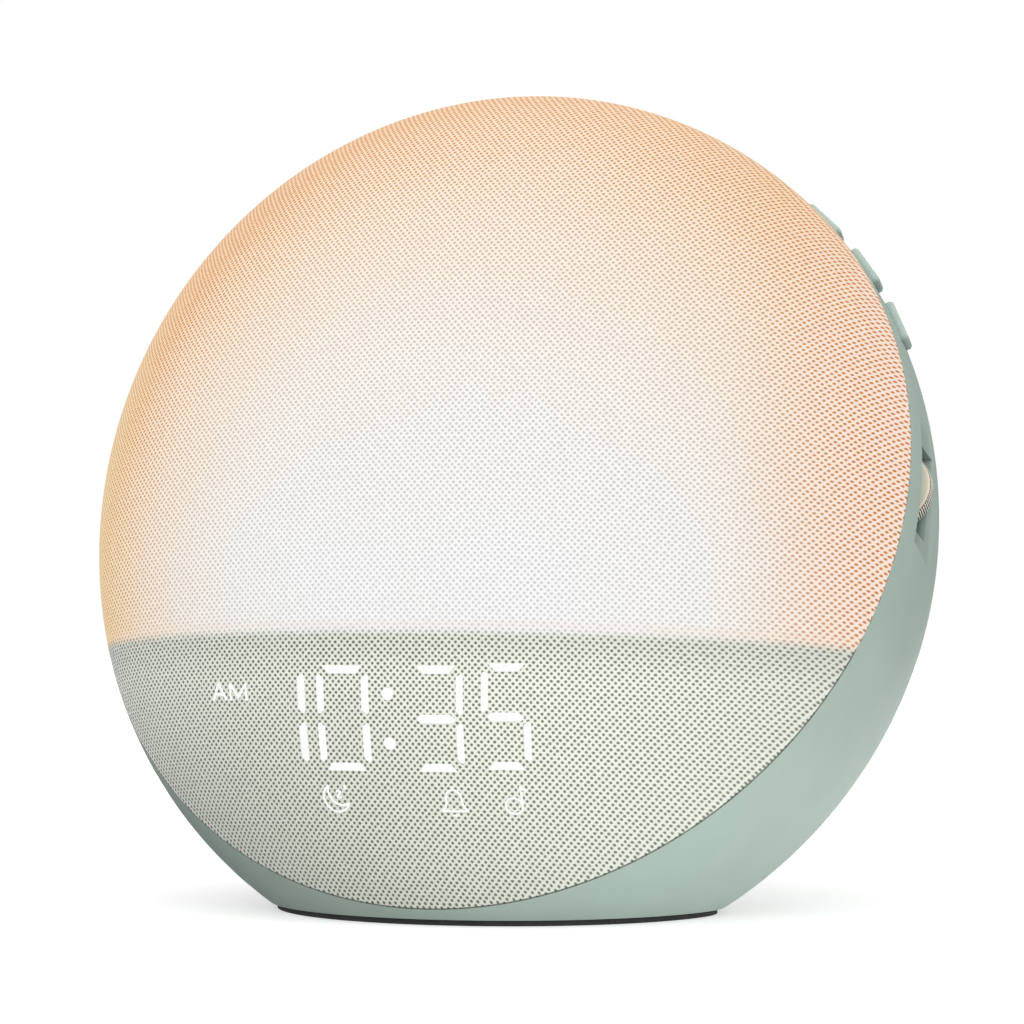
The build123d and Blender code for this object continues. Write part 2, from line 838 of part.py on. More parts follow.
def make_jack():
    """Power socket: a block with a round mouth that faces backwards."""
    body = block((-jack_width / 2, jack_face - jack_length, board_top),
                 (jack_width / 2, jack_face, board_top + jack_height))
    mouth = Pos(0, jack_face - jack_bore_depth / 2, jack_axis_height) * Rot(90, 0, 0)
    return body - mouth * Cylinder(jack_bore, jack_bore_depth)


def make_jack_pin():
    length = jack_bore_depth - 1
    middle = jack_face - jack_bore_depth + length / 2
    pin = Pos(0, middle, jack_axis_height) * Rot(90, 0, 0)
    return pin * Cylinder(jack_pin_radius, length)


# ---- keys -------------------------------------------------------------------------------
def make_key(angle):
    """Key cap with its retaining flange and the stem that presses the dome."""
    cap_height = key_rise - key_flange_top
    cap = Pos(0, key_shift, key_rise - cap_height / 2) * Box(key_length, key_width, cap_height)
    cap = fillet(cap.edges().filter_by(Axis.Z), key_corner)
    cap = chamfer(cap.faces().sort_by(Axis.Z)[-1].edges(), key_edge)
    flange = Box(key_length + 2 * key_flange_lip, key_flange_width, key_flange_thickness)
    cap += Pos(0, 0, key_flange_top - key_flange_thickness / 2) * flange
    cap += Pos(0, 0, key_stem_top - key_stem_length / 2) * Cylinder(key_stem_radius,
                                                                   key_stem_length)
    return side_frame(angle) * cap


def make_key_dome(angle):
    """Silicone dome that pushes the key back out."""
    points = [(dome_top_radius - dome_wall, strip_top), (dome_foot_radius, strip_top),
              (dome_foot_radius, strip_top + dome_wall), (dome_top_radius, dome_top),
              (0, dome_top), (0, dome_top - dome_wall),
              (dome_top_radius - dome_wall, dome_top - dome_wall)]
    skirt = make_face(Polyline(*points, close=True))
    return side_frame(angle) * revolve(Plane.XZ * skirt, Axis.Z)


def flat_reach(level):
    """How far a flat under one key runs before it meets the flat under the next."""
    one, two = [Plane(side_frame(angle)) for angle in key_angles()[:2]]
    apart = one.origin + one.z_dir * level - two.origin
    return (level - apart.dot(two.z_dir)) / one.x_dir.dot(two.z_dir)


def key_ribbon(top, thickness, width, ear):
    """Bent strip that backs all keys, flat under each, with an ear past each end key."""
    reach = flat_reach(top)
    end = key_length / 2 + key_flange_lip + ear
    angles = key_angles()
    ribbon = None
    for angle in angles:
        start = -end if angle == angles[0] else -reach
        stop = end if angle == angles[-1] else reach
        flat = block((start, -width / 2, top - thickness), (stop, width / 2, top))
        placed = side_frame(angle) * flat
        ribbon = placed if ribbon is None else ribbon + placed
    return ribbon


def make_contact_strip():
    return key_ribbon(strip_top, strip_thickness, strip_width, 0) - bracket_ribbon()


def bracket_ribbon():
    return key_ribbon(bracket_top, bracket_thickness, bracket_width, bracket_ear)


def make_key_bracket():
    bracket = bracket_ribbon()
    for frame in key_boss_frames():
        hole = frame * Pos(0, 0, bracket_top)
        bracket -= hole * Cylinder(screw_radius + small_gap, 4 * bracket_thickness)
    return bracket


def make_key_bracket_screws():
    under = Pos(0, 0, bracket_top - bracket_thickness) * Rot(180, 0, 0)
    return Compound(children=[frame * under * screw(bracket_thickness + 2 * wall)
                              for frame in key_boss_frames()])


# ---- scroll wheel -----------------------------------------------------------------------
def wheel_frame(depth=band_depth):
    return in_panel(wheel_place, wheel_rise, -depth)


def make_wheel():
    """Ribbed rim between two plain bands, on a solid hub."""
    root = wheel_radius - rib_depth
    ribbed = Cylinder(root, wheel_thickness)
    rib_width = radians(360 / rib_count) * wheel_radius * 0.5
    rib_length = wheel_thickness - 2 * wheel_flange
    for i in range(rib_count):
        turn = Rot(0, 0, i * 360 / rib_count)
        ribbed += turn * Pos(root, 0, 0) * Box(2 * rib_depth, rib_width, rib_length)
    bands = Cylinder(wheel_radius - rib_depth / 4, wheel_flange)
    bands = chamfer(bands.edges(), wheel_flange / 3)
    for side in (-1, 1):
        ribbed += Pos(0, 0, side * (wheel_thickness - wheel_flange) / 2) * bands
    for side in (-1, 1):
        dish = Cylinder(wheel_radius * 0.62, wheel_flange) - Cylinder(axle_radius * 2, wheel_flange)
        ribbed -= Pos(0, 0, side * wheel_thickness / 2) * dish
    ribbed -= Cylinder(axle_radius + small_gap / 2, 2 * wheel_thickness)
    return wheel_frame() * ribbed


def axle_span():
    """Front and back end of the axle, from the wheel's middle."""
    return cheek_place + cheek_thickness, -cheek_place - cheek_thickness - encoder_depth + 1


def make_axle():
    front, back = axle_span()
    return wheel_frame() * Pos(0, 0, (front + back) / 2) * Cylinder(axle_radius, front - back)


def make_wheel_bracket():
    """Two cheeks and a web, screwed to the bosses beside the recess."""
    outer = recess_floor - recess_backing - fit_gap - wheel_place
    inner = web_place - cheek_thickness - wheel_place
    bracket = None
    for side in (-1, 1):
        low = side * cheek_place if side > 0 else side * cheek_place - cheek_thickness
        cheek = block((inner, -cheek_half_height, low),
                      (outer, cheek_half_height, low + cheek_thickness))
        bracket = cheek if bracket is None else bracket + cheek
    reach = wheel_radius + 2 * boss_radius
    half = cheek_place + cheek_thickness
    bracket += block((inner, -reach, -half), (inner + cheek_thickness, reach, half))
    bracket -= Cylinder(axle_radius + axle_running_gap, 4 * half)
    bore = screw_radius + small_gap
    for v in wheel_boss_places():
        hole = Pos(inner, v - wheel_rise, 0) * Rot(0, 90, 0)
        bracket -= hole * Cylinder(bore, 4 * cheek_thickness)
    return wheel_frame() * bracket


def make_wheel_bracket_screws():
    screws = []
    inner = web_place - cheek_thickness - wheel_place
    for v in wheel_boss_places():
        head = wheel_frame() * Pos(inner, v - wheel_rise, 0) * Rot(0, -90, 0)
        screws.append(head * screw(base_screw_length))
    return Compound(children=screws)


def make_encoder():
    """Rotary encoder behind the bracket's back cheek."""
    top = -cheek_place - cheek_thickness
    body = Pos(0, 0, top - encoder_depth / 2) * Box(encoder_size, encoder_size, encoder_depth)
    bore = Pos(0, 0, top - encoder_depth / 2 + 1 / 2)
    body -= bore * Cylinder(axle_radius + axle_running_gap, encoder_depth - 1 + 2 * small_gap)
    return wheel_frame() * body


# ---- speaker ----------------------------------------------------------------------------
flange_top = -(seat_place - gasket_thickness)
basket_top = flange_top + speaker_flange


def turned(points):
    """Ring or disc turned about the panel's axis from (radius, w) points."""
    return panel * revolve(Plane.XZ * make_face(Polyline(*points, close=True)), Axis.Z)


def make_speaker_gasket():
    low = -seat_place
    ring = turned([(surround_radius, low), (speaker_radius, low), (speaker_radius, flange_top),
                   (surround_radius, flange_top)])
    for x, y in speaker_screw_places():
        ring -= in_panel(x, y, low) * Cylinder(screw_radius + small_gap, 4 * gasket_thickness)
    return ring


def make_speaker_basket():
    """Stamped flange with a cone-shaped basket and its back plate."""
    back = basket_top + basket_depth
    wide = surround_radius + basket_wall
    narrow = basket_back_radius
    basket = turned([(surround_radius, flange_top), (speaker_radius, flange_top),
                     (speaker_radius, basket_top), (wide, basket_top), (narrow, back),
                     (coil_radius + 1, back), (coil_radius + 1, back - basket_wall),
                     (narrow - basket_wall, back - basket_wall),
                     (surround_radius, basket_top)])
    for x, y in speaker_screw_places():
        basket -= in_panel(x, y, flange_top) * Cylinder(screw_radius + small_gap,
                                                       4 * speaker_flange)
    return basket


def make_speaker_magnet():
    low = basket_top + basket_depth
    return in_panel(0, 0, low + magnet_depth / 2) * Cylinder(magnet_radius, magnet_depth)


def cone_depths():
    """Front and back of the paper cone, from the rim plane."""
    return flange_top + cone_setback, flange_top + cone_setback + basket_depth / 2


def make_speaker_cone():
    front, back = cone_depths()
    skin = paper_thickness
    return turned([(cone_radius, front), (coil_radius, back), (coil_radius, back + skin),
                   (cone_radius, front + skin)])


def make_speaker_surround():
    """Soft roll between the cone and the basket's flange."""
    front = cone_depths()[0]
    skin = paper_thickness
    middle = (surround_radius + cone_radius) / 2
    roll = cone_setback + gasket_thickness / 2
    return turned([(cone_radius, front), (middle, front - roll), (surround_radius, front),
                   (surround_radius, front + skin), (middle, front - roll + skin),
                   (cone_radius, front + skin)])


def make_dust_cap():
    back = cone_depths()[1]
    rise = coil_radius / 3
    cap = ThreePointArc((-coil_radius, 0), (0, rise), (coil_radius, 0))
    half = make_face([ThreePointArc((0, rise), cap @ 0.75, (coil_radius, 0)),
                      Line((coil_radius, 0), (0, 0)), Line((0, 0), (0, rise))])
    shape = revolve(Plane.XZ * half, Axis.Z)
    return in_panel(0, 0, back) * Rot(180, 0, 0) * shape


def make_voice_coil():
    back = cone_depths()[1] + paper_thickness
    low_end = basket_top + basket_depth
    tube = Cylinder(coil_radius, low_end - back) - Cylinder(coil_radius - 1, low_end - back)
    return in_panel(0, 0, (back + low_end) / 2) * tube


def make_speaker_screws():
    length = speaker_flange + gasket_thickness + wall / 2
    return Compound(children=[in_panel(x, y, basket_top) * screw(length)
                              for x, y in speaker_screw_places()])


# ---- all nodes --------------------------------------------------------------------------
def make_nodes():
    gap = small_gap
    slots = (digit_faces(True, gap) + digit_faces(False, gap) + colon_faces(gap)
             + mark_faces(gap))
    nodes = {
        "rear_housing": make_housing(),
        "front_fabric": make_fabric(),
        "diffuser_shell": make_diffuser(),
        "front_ring": make_front_ring(),
        "front_ring_screws": make_ring_screws(),
        "light_shelf": make_shelf(),
        "reflector_tub": make_tub(),
        "reflector_screws": make_tub_screws(),
        "led_board": make_led_board(),
        "led_board_screws": make_led_board_screws(),
        "warm_leds": make_leds(warm_led_places()),
        "cool_leds": make_leds(cool_led_places()),
        "display_board": make_display_board(),
        "display_mask": make_mask(slots),
        "lit_segment_guides": guide_set(digit_faces(True) + colon_faces()),
        "unlit_segment_guides": guide_set(digit_faces(False)),
        "indicator_guides": guide_set(mark_faces()),
        "display_lamps": make_display_lamps(),
        "foot_pad": make_foot(),
        "base_plate": make_base_plate(),
        "base_screws": make_base_screws(),
        "main_board": make_main_board(),
        "main_board_screws": make_board_screws(),
        "board_chips": make_chips(),
        "board_capacitors": make_capacitors(),
        "board_connectors": make_connectors(),
        "coin_cell_holder": make_cell_holder(),
        "coin_cell": make_cell(),
        "power_jack": make_jack(),
        "power_jack_pin": make_jack_pin(),
        "key_contact_strip": make_contact_strip(),
        "key_bracket": make_key_bracket(),
        "key_bracket_screws": make_key_bracket_screws(),
        "scroll_wheel": make_wheel(),
        "wheel_axle": make_axle(),
        "wheel_bracket": make_wheel_bracket(),
        "wheel_bracket_screws": make_wheel_bracket_screws(),
        "wheel_encoder": make_encoder(),
        "speaker_gasket": make_speaker_gasket(),
        "speaker_basket": make_speaker_basket(),
        "speaker_magnet": make_speaker_magnet(),
        "speaker_cone": make_speaker_cone(),
        "speaker_surround": make_speaker_surround(),
        "speaker_dust_cap": make_dust_cap(),
        "speaker_voice_coil": make_voice_coil(),
        "speaker_screws": make_speaker_screws(),
    }
    for name, angle in zip(key_names, key_angles()):
        nodes["key_" + name] = make_key(angle)
        nodes["key_dome_" + name] = make_key_dome(angle)
    return nodes


def print_places():
    """Places and directions that the joints and mounts need, in metres."""
    for name, angle in zip(key_names, key_angles()):
        frame = side_frame(angle)
        inward = (frame * Pos(0, 0, -1)).position - frame.position
        print("key", name, "at", frame.position / 1000, "inward", inward)
    print("wheel axis at", wheel_frame().position / 1000, "along", panel.z_dir)
    print("inlet at", (0, jack_face / 1000, jack_axis_height / 1000))


def main():
    os.makedirs("parts", exist_ok=True)
    for name, shape in make_nodes().items():
        export_step(shape, f"parts/{name}.step")
    print_places()


main()
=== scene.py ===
import json
from functools import partial
from math import cos, pi, radians, sin

import bmesh
import bpy
import numpy as np
from mathutils import Matrix, Vector


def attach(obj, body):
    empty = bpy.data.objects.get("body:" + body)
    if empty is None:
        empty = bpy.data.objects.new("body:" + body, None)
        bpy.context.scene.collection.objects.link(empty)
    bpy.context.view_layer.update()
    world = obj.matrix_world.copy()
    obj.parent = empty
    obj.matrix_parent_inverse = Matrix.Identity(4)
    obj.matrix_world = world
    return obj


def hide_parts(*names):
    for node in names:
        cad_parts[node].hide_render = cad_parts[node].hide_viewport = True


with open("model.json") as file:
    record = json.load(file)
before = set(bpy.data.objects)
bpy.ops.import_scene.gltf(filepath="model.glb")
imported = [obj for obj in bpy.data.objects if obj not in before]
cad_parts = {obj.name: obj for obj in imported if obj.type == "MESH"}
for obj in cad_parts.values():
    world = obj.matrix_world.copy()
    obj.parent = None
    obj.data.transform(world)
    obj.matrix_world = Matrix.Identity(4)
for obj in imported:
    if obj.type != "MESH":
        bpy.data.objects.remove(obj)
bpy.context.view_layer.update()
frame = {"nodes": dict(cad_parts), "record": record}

nodes = frame["nodes"]
scene = bpy.context.scene
scene.view_settings.view_transform = "Standard"  # colours come out as they are set
scene.view_settings.look = "None"
mm = 0.001


# ---- small helpers
def srgb(hexColour):  # "#RRGGBB" to the linear colour that shaders take
    parts = [int(hexColour[i:i + 2], 16) / 255 for i in (1, 3, 5)]
    return (*(c / 12.92 if c <= 0.04045 else ((c + 0.055) / 1.055) ** 2.4 for c in parts), 1.0)


def addNode(tree, kind, *feeds, stops=(), **named):
    # adds the node "Kind" or "Kind.OPERATION" and gives back its first live output; feeds go into its live
    # inputs in order, a list links several to one; a capitalised name is an input, written without spaces,
    # any other name is a setting; stops are the places and colours of a ramp
    kind, _, operation = kind.partition(".")
    node = tree.nodes.new(kind if "Node" in kind else "ShaderNode" + kind)
    if operation:
        node.operation = operation
    for name, value in named.items():
        if name[0].islower():
            setattr(node, name, value)
    if stops:
        ramp = node.color_ramp.elements
        ramp.remove(ramp[1])
        ramp[0].position, ramp[0].color = stops[0][0], srgb(stops[0][1])
        for place, colour in stops[1:]:
            ramp.new(place).color = srgb(colour)
    live = [socket for socket in node.inputs if socket.enabled]
    called = {socket.name.replace(" ", ""): socket for socket in live}
    pairs = [*zip(live, feeds)]
    pairs += [(called[name], value) for name, value in named.items() if name[0].isupper()]
    for socket, source in pairs:
        for one in source if isinstance(source, list) else [source]:
            if isinstance(one, bpy.types.NodeSocket):
                tree.links.new(one, socket)
            else:
                socket.default_value = one
    return next((socket for socket in node.outputs if socket.enabled), None)


eased = {"interpolation_type": "SMOOTHSTEP"}  # a range that begins and ends softly


def newMaterial(name):  # an empty material, and what adds nodes to it
    material = bpy.data.materials.new(name)
    material.use_nodes = True
    material.node_tree.nodes.clear()
    return material, partial(addNode, material.node_tree)


def finish(material, add, colour, rough=None, relief=None, **more):
    # the surface itself; rough: what drives it, least, most; relief: its height, strength, depth in mm
    if rough:
        source, least, most = rough
        more["Roughness"] = add("MapRange", source, ToMin=least, ToMax=most)
    if relief:
        height, strength, depth = relief
        more["Normal"] = add("Bump", Height=height, Strength=strength, Distance=depth * mm)
    add("OutputMaterial", add("BsdfPrincipled", colour, **more))
    return material


def millimetres(add):  # the piece's own coordinates, in millimetres
    return add("VectorMath.SCALE", add("TexCoord").node.outputs["Object"], 1 / mm)


def paint(name, material):  # a CAD node keeps its shape and gets a finish
    nodes[name].data.materials.clear()
    nodes[name].data.materials.append(material)


def giveUp(obj, body, slot, *replaced):  # one finished piece on its body
    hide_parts(*replaced)
    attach(obj, body)
    return obj


# ---- the body's own form, in millimetres, as the solids have it
bodyForm = {
    "rimHalfWidth": 85.0,
    "rimHalfHeight": 92.0,
    "rimHeight": 85.1,
    "rimSetback": 6.5,
    "lean": 27.4,  # degrees that the front leans back
    "edgeSlope": 75.8,  # degrees, where the dome leaves the rim
    "edgeRadius": 76.3,
    "crownSlope": 24.7,
    "wallSlope": 102.3,
    "wallRadius": 77.8,
    "shoulderSlope": 77.3,
    "shoulderRadius": 38.2,
    "backSlope": 20.0,
    "horizonHeight": 52.6,  # where the lit zone ends, and how far behind the foot's centre
    "horizonBack": -10.8,
    "horizonTilt": 4.0,
}
lean = radians(bodyForm["lean"])
stretch = bodyForm["rimHalfHeight"] / bodyForm["rimHalfWidth"]
panelOrigin = Vector((0.0, bodyForm["rimSetback"], bodyForm["rimHeight"])) * mm
panelTurn = Matrix(((1, 0, 0), (0, sin(lean), -cos(lean)), (0, cos(lean), sin(lean))))  # across, up, out
outward = (0, -cos(lean), sin(lean))  # the way the front faces
panelPlace = Matrix.Translation(panelOrigin) @ panelTurn.to_4x4()


def domeArcs():  # edge arc and crown arc: centre radius, centre height, radius
    edge = bodyForm["edgeRadius"]
    first, last = radians(bodyForm["edgeSlope"]), radians(bodyForm["crownSlope"])
    edgeR = bodyForm["rimHalfWidth"] - edge * sin(first)
    edgeW = -edge * cos(first)
    crown = (edgeR + edge * sin(last)) / sin(last)
    return (edgeR, edgeW, edge), (0.0, edgeW + (edge - crown) * cos(last), crown)


def backArcs():  # wall, shoulder and back: centre radius, centre depth, radius, last slope
    wall, shoulder = bodyForm["wallRadius"], bodyForm["shoulderRadius"]
    s0, s1, s2 = (radians(bodyForm[k]) for k in ("wallSlope", "shoulderSlope", "backSlope"))
    wallR = bodyForm["rimHalfWidth"] - wall * sin(s0)
    wallW = -wall * cos(s0)
    shoulderR = wallR + (wall - shoulder) * sin(s1)
    shoulderW = wallW + (wall - shoulder) * cos(s1)
    back = (shoulderR + shoulder * sin(s2)) / sin(s2)
    return [(wallR, wallW, wall, s1), (shoulderR, shoulderW, shoulder, s2),
            (0.0, shoulderW + (shoulder - back) * cos(s2), back, 0.0)]


# ---- geometry node helpers
def newTree(name, **inputs):  # inputs: kind of socket, and the names of the inputs of that kind
    tree = bpy.data.node_groups.new(name, "GeometryNodeTree")
    tree.interface.new_socket("Geometry", in_out="INPUT", socket_type="NodeSocketGeometry")
    for kind, labels in inputs.items():
        for label in labels:
            tree.interface.new_socket(label, in_out="INPUT", socket_type="NodeSocket" + kind)
    tree.interface.new_socket("Geometry", in_out="OUTPUT", socket_type="NodeSocketGeometry")
    return partial(addNode, tree), addNode(tree, "NodeGroupInput").node.outputs


def endTree(add, geometry, material):  # real faces and their material
    done = add("GeometryNodeSetMaterial", add("GeometryNodeRealizeInstances", geometry), Material=material)
    add("NodeGroupOutput", done)
    return done.id_data


def runTree(name, tree, values, start=None):  # the tree's result as a plain mesh object
    holder = bpy.data.objects.new(name + "Maker", start or bpy.data.meshes.new(name + "Start"))
    scene.collection.objects.link(holder)
    modifier = holder.modifiers.new("maker", "NODES")
    modifier.node_group = tree
    for item in tree.interface.items_tree:
        if item.item_type == "SOCKET" and item.in_out == "INPUT" and item.name in values:
            modifier[item.identifier] = values[item.name]
    shaped = holder.evaluated_get(bpy.context.evaluated_depsgraph_get())
    mesh = bpy.data.meshes.new_from_object(shaped)
    holder.modifiers.remove(modifier)
    bpy.data.objects.remove(holder)
    mesh.name = name
    obj = bpy.data.objects.new(name, mesh)
    scene.collection.objects.link(obj)
    return obj


# ---- cloth front
clothLook = {
    "around": 288,  # faces round the rim
    "rings": 112,
    "hemShare": 0.05,  # share of the rings in the rolled hem
    "hemRadius": 0.7,  # mm, roll at the rim
    "hemSlope": 168.0,  # degrees of slope where the hem ends
    "pull": (0.061, -0.401),  # the way the weave was pulled over the dome, panel mm per mm of height
    "looseSlope": 54.5,  # degrees of slope past which the threads spread no further, at the top
    "pullSlope": 60.0,  # degrees past which they are pulled no further, at the top
    "pullFade": 4.0,  # mm of height over which that sets in
    "topWay": (-0.45, 0.89),  # across and up the panel: which side counts as the top
    "topFade": (0.1, 0.75),  # how far towards it the two slopes begin to count and count in full
    "holeRow": (0.61, 0.704),  # mm from one hole of the weave to the next, both ways
    "holeColumn": (0.61, -0.704),
    "holeHalfWidth": 0.275,  # mm
    "holeHalfHeight": 0.285,
    "rimHoleHalfWidth": 0.29,  # a little wider and lower towards the right rim
    "rimHoleHalfHeight": 0.26,
    "rimFade": (25.0, 82.0),  # mm to the right where that begins and where it is full
    "holeSpread": 0.03,  # mm that a hole's half width differs at most
    "holeWander": (0.12, 0.12, 0),  # share of the spacing over which a hole is off its place
    "threadEdge": (0.7, 1.3),  # half widths from a hole's middle to where a thread begins and is full
    "warmMiddle": (12.0, 66.0),  # mm across and up, where the glow is white
    "warmReach": (81.0, 115.0),  # mm across and up from there to where it is warm
    "warmPower": 3.2,
    "warmRim": 0.9,
    "warmRise": (70.0, 95.0, 0.42),  # mm up where the top's own warmth begins, mm to its end, how much it is
    "cloud": (0.045, 0.10),  # per mm, how much: drift of the warmth
    "litThread": [(0.0, "#F9F9F9"), (0.16, "#F9F6F2"), (0.38, "#FBEEE1"), (0.56, "#FBE9D6"), (0.7, "#FAE3CB"),
                  (0.87, "#F9DBBC"), (1.0, "#F6D0A6")],  # from white to warm
    "litHole": [(0.0, "#D4D4D4"), (0.28, "#CFC4B7"), (0.46, "#CDB295"), (0.66, "#CB9A67"), (0.87, "#C87F2E"),
                (1.0, "#C57722")],
    "sideTones": [(56.0, 86.0, 0.85, "#FDE9DC", "#D0730A"),  # mm across where it begins and is full, share,
                  (-52.0, -84.0, 0.7, "#F6E3B6", "#CBA965")],  # thread and hole: right and left
    "dimAcross": (-75.0, 60.0),  # mm, from the left to the right tone of the unlit cloth: painted light and shade across it
    "dimThread": [(0.0, "#EDF0E7"), (0.5, "#DEE2D6"), (1.0, "#DADED3")],
    "dimHole": [(0.0, "#6E7468"), (0.5, "#6A6E62"), (1.0, "#7C8073")],
    "dusk": (9.0, 0.86),  # mm under the horizon where painted shade starts to darken the unlit cloth, what is left
    "blush": (1.3, 0.22, "#F6DECB"),  # mm over the horizon, strength and colour
    "litBase": 0.16,  # share of the glow's colour that the cloth itself has in the lit zone
    "fuzz": 0.35,  # mm, fibre grain
    "fuzzShare": 0.25,
    "threadLift": 0.10,  # mm that threads stand over the holes
    "glow": 0.78,  # share of the lit zone's brightness that comes through from inside
    "horizonBlur": 1.1,  # mm each side
    "seam": 0.35,  # mm of shadow along the seam, on the cloth and on the shell
    "seamCore": 0.3,  # share of it that is darkest
    "seamTone": 0.22,
}


def seamShade(add, colour):  # darkens a colour close to the seam between the cloth and the shell
    reach = clothLook["seam"]
    off = add("VectorMath.SUBTRACT", millimetres(add), panelOrigin / mm)
    away = add("Math.ABSOLUTE", add("VectorMath.DOT_PRODUCT", off, outward))
    near = add("MapRange", away, reach, reach * clothLook["seamCore"], 1.0, clothLook["seamTone"], **eased)
    return add("VectorMath.SCALE", colour, near)


def clothMaterial():
    # woven polyester speaker cloth, plain open weave: off-white threads round small dark holes,
    # lit from inside above the horizon, soft and matt below it
    look = clothLook
    material, add = newMaterial("wovenPolyesterCloth")
    uv = add("UVMap", uv_map="threadPlace")
    place = millimetres(add)
    across, back, height = add("SeparateXYZ", place).node.outputs

    # holes of the weave on their own slanted lattice
    (ax, ay), (bx, by) = look["holeRow"], look["holeColumn"]
    area = ax * by - ay * bx
    row = add("VectorMath.DOT_PRODUCT", uv, (by / area, -bx / area, 0))
    column = add("VectorMath.DOT_PRODUCT", uv, (-ay / area, ax / area, 0))
    cell = add("CombineXYZ", row, column)
    number = add("VectorMath.FLOOR", add("VectorMath.ADD", cell, (0.5, 0.5, 0)))
    chance = add("TexWhiteNoise", number, noise_dimensions="2D")
    wander = add("VectorMath.SUBTRACT", chance.node.outputs["Color"], (0.5, 0.5, 0.5))
    offset = add("VectorMath.SUBTRACT", cell, number)
    offset = add("VectorMath.MULTIPLY_ADD", wander, look["holeWander"], offset)
    sideways = add("VectorMath.DOT_PRODUCT", offset, (ax, bx, 0))
    upwards = add("VectorMath.DOT_PRODUCT", offset, (ay, by, 0))
    pulled = add("MapRange", across, *look["rimFade"], **eased)
    wide, rimWide, spread = look["holeHalfWidth"], look["rimHoleHalfWidth"], look["holeSpread"]
    width = add("Math.MULTIPLY_ADD", pulled, rimWide - wide, wide - spread)
    width = add("Math.MULTIPLY_ADD", chance, 2 * spread, width)
    high, rimHigh = look["holeHalfHeight"], look["rimHoleHalfHeight"]
    tall = add("Math.MULTIPLY_ADD", pulled, rimHigh - high, high)
    reach = add("CombineXYZ", add("Math.DIVIDE", sideways, width), add("Math.DIVIDE", upwards, tall))
    thread = add("MapRange", add("VectorMath.LENGTH", reach), *look["threadEdge"], **eased)

    # how warm the glow is at a point: white in the middle, amber to peach at the rim
    (middleX, middleZ), (reachX, reachZ) = look["warmMiddle"], look["warmReach"]
    start, length, share = look["warmRise"]
    rise = add("Math.MULTIPLY", add("Math.SUBTRACT", height, start), 1 / length, use_clamp=True)
    sideways = add("Math.DIVIDE", add("Math.SUBTRACT", across, middleX), reachX)
    upwards = add("Math.MAXIMUM", add("Math.SUBTRACT", height, middleZ), 0.0)
    upwards = add("Math.DIVIDE", upwards, reachZ)
    rim = add("Math.POWER", add("VectorMath.LENGTH", add("CombineXYZ", sideways, upwards)), look["warmPower"])
    warm = add("Math.MULTIPLY_ADD", rim, look["warmRim"], add("Math.MULTIPLY", rise, share))
    scale, amount = look["cloud"]
    cloud = add("Math.SUBTRACT", add("TexNoise", place, Scale=scale, Detail=2.0), 0.5)
    warm = add("Math.MULTIPLY_ADD", cloud, amount, warm)
    litThread = add("ValToRGB", warm, stops=look["litThread"])
    litHole = add("ValToRGB", warm, stops=look["litHole"])
    for start, end, share, threadTone, holeTone in look["sideTones"]:
        part = add("Math.MULTIPLY", add("MapRange", across, start, end, **eased), share)
        litThread = add("Mix", part, litThread, srgb(threadTone), data_type="RGBA")
        litHole = add("Mix", part, litHole, srgb(holeTone), data_type="RGBA")
    lit = add("Mix", thread, litHole, litThread, data_type="RGBA")

    # the unlit cloth, with painted light that makes it paler and greener on the left, and painted shade that
    # makes it a little darker towards the horizon
    paintedSideLight = add("MapRange", across, *look["dimAcross"])
    dimThread = add("ValToRGB", paintedSideLight, stops=look["dimThread"])
    dimHole = add("ValToRGB", paintedSideLight, stops=look["dimHole"])
    dim = add("Mix", thread, dimHole, dimThread, data_type="RGBA")

    tilt = radians(bodyForm["horizonTilt"])
    above = add("VectorMath.DOT_PRODUCT", place, (0, sin(tilt), cos(tilt)))
    level = bodyForm["horizonHeight"] * cos(tilt) + bodyForm["horizonBack"] * sin(tilt)
    litZone = add("MapRange", above, level - look["horizonBlur"], level + look["horizonBlur"], **eased)
    # painted shade: the unlit cloth gets darker towards the horizon
    under, least = look["dusk"]
    dim = add("VectorMath.SCALE", dim, add("MapRange", above, level - under, level, 1.0, least, **eased))
    over, strength, tone = look["blush"]
    off = add("Math.ABSOLUTE", add("Math.SUBTRACT", above, level + over))
    blush = add("MapRange", off, over, 0.0, ToMax=strength, **eased)
    lit = add("Mix", blush, lit, srgb(tone), data_type="RGBA")

    base = add("Mix", litZone, dim, add("VectorMath.SCALE", lit, look["litBase"]), data_type="RGBA")
    fibre = add("TexNoise", uv, Scale=1 / look["fuzz"], Detail=3.0, Roughness=0.7)
    lift = add("Math.MULTIPLY_ADD", fibre, look["fuzzShare"], thread)
    glow = add("Math.MULTIPLY", litZone, look["glow"])
    return finish(material, add, seamShade(add, base), relief=(lift, 0.6, look["threadLift"]),
                  Roughness=0.85, SheenWeight=0.15, SheenRoughness=0.5, SpecularIORLevel=0.25,
                  EmissionColor=lit, EmissionStrength=glow)


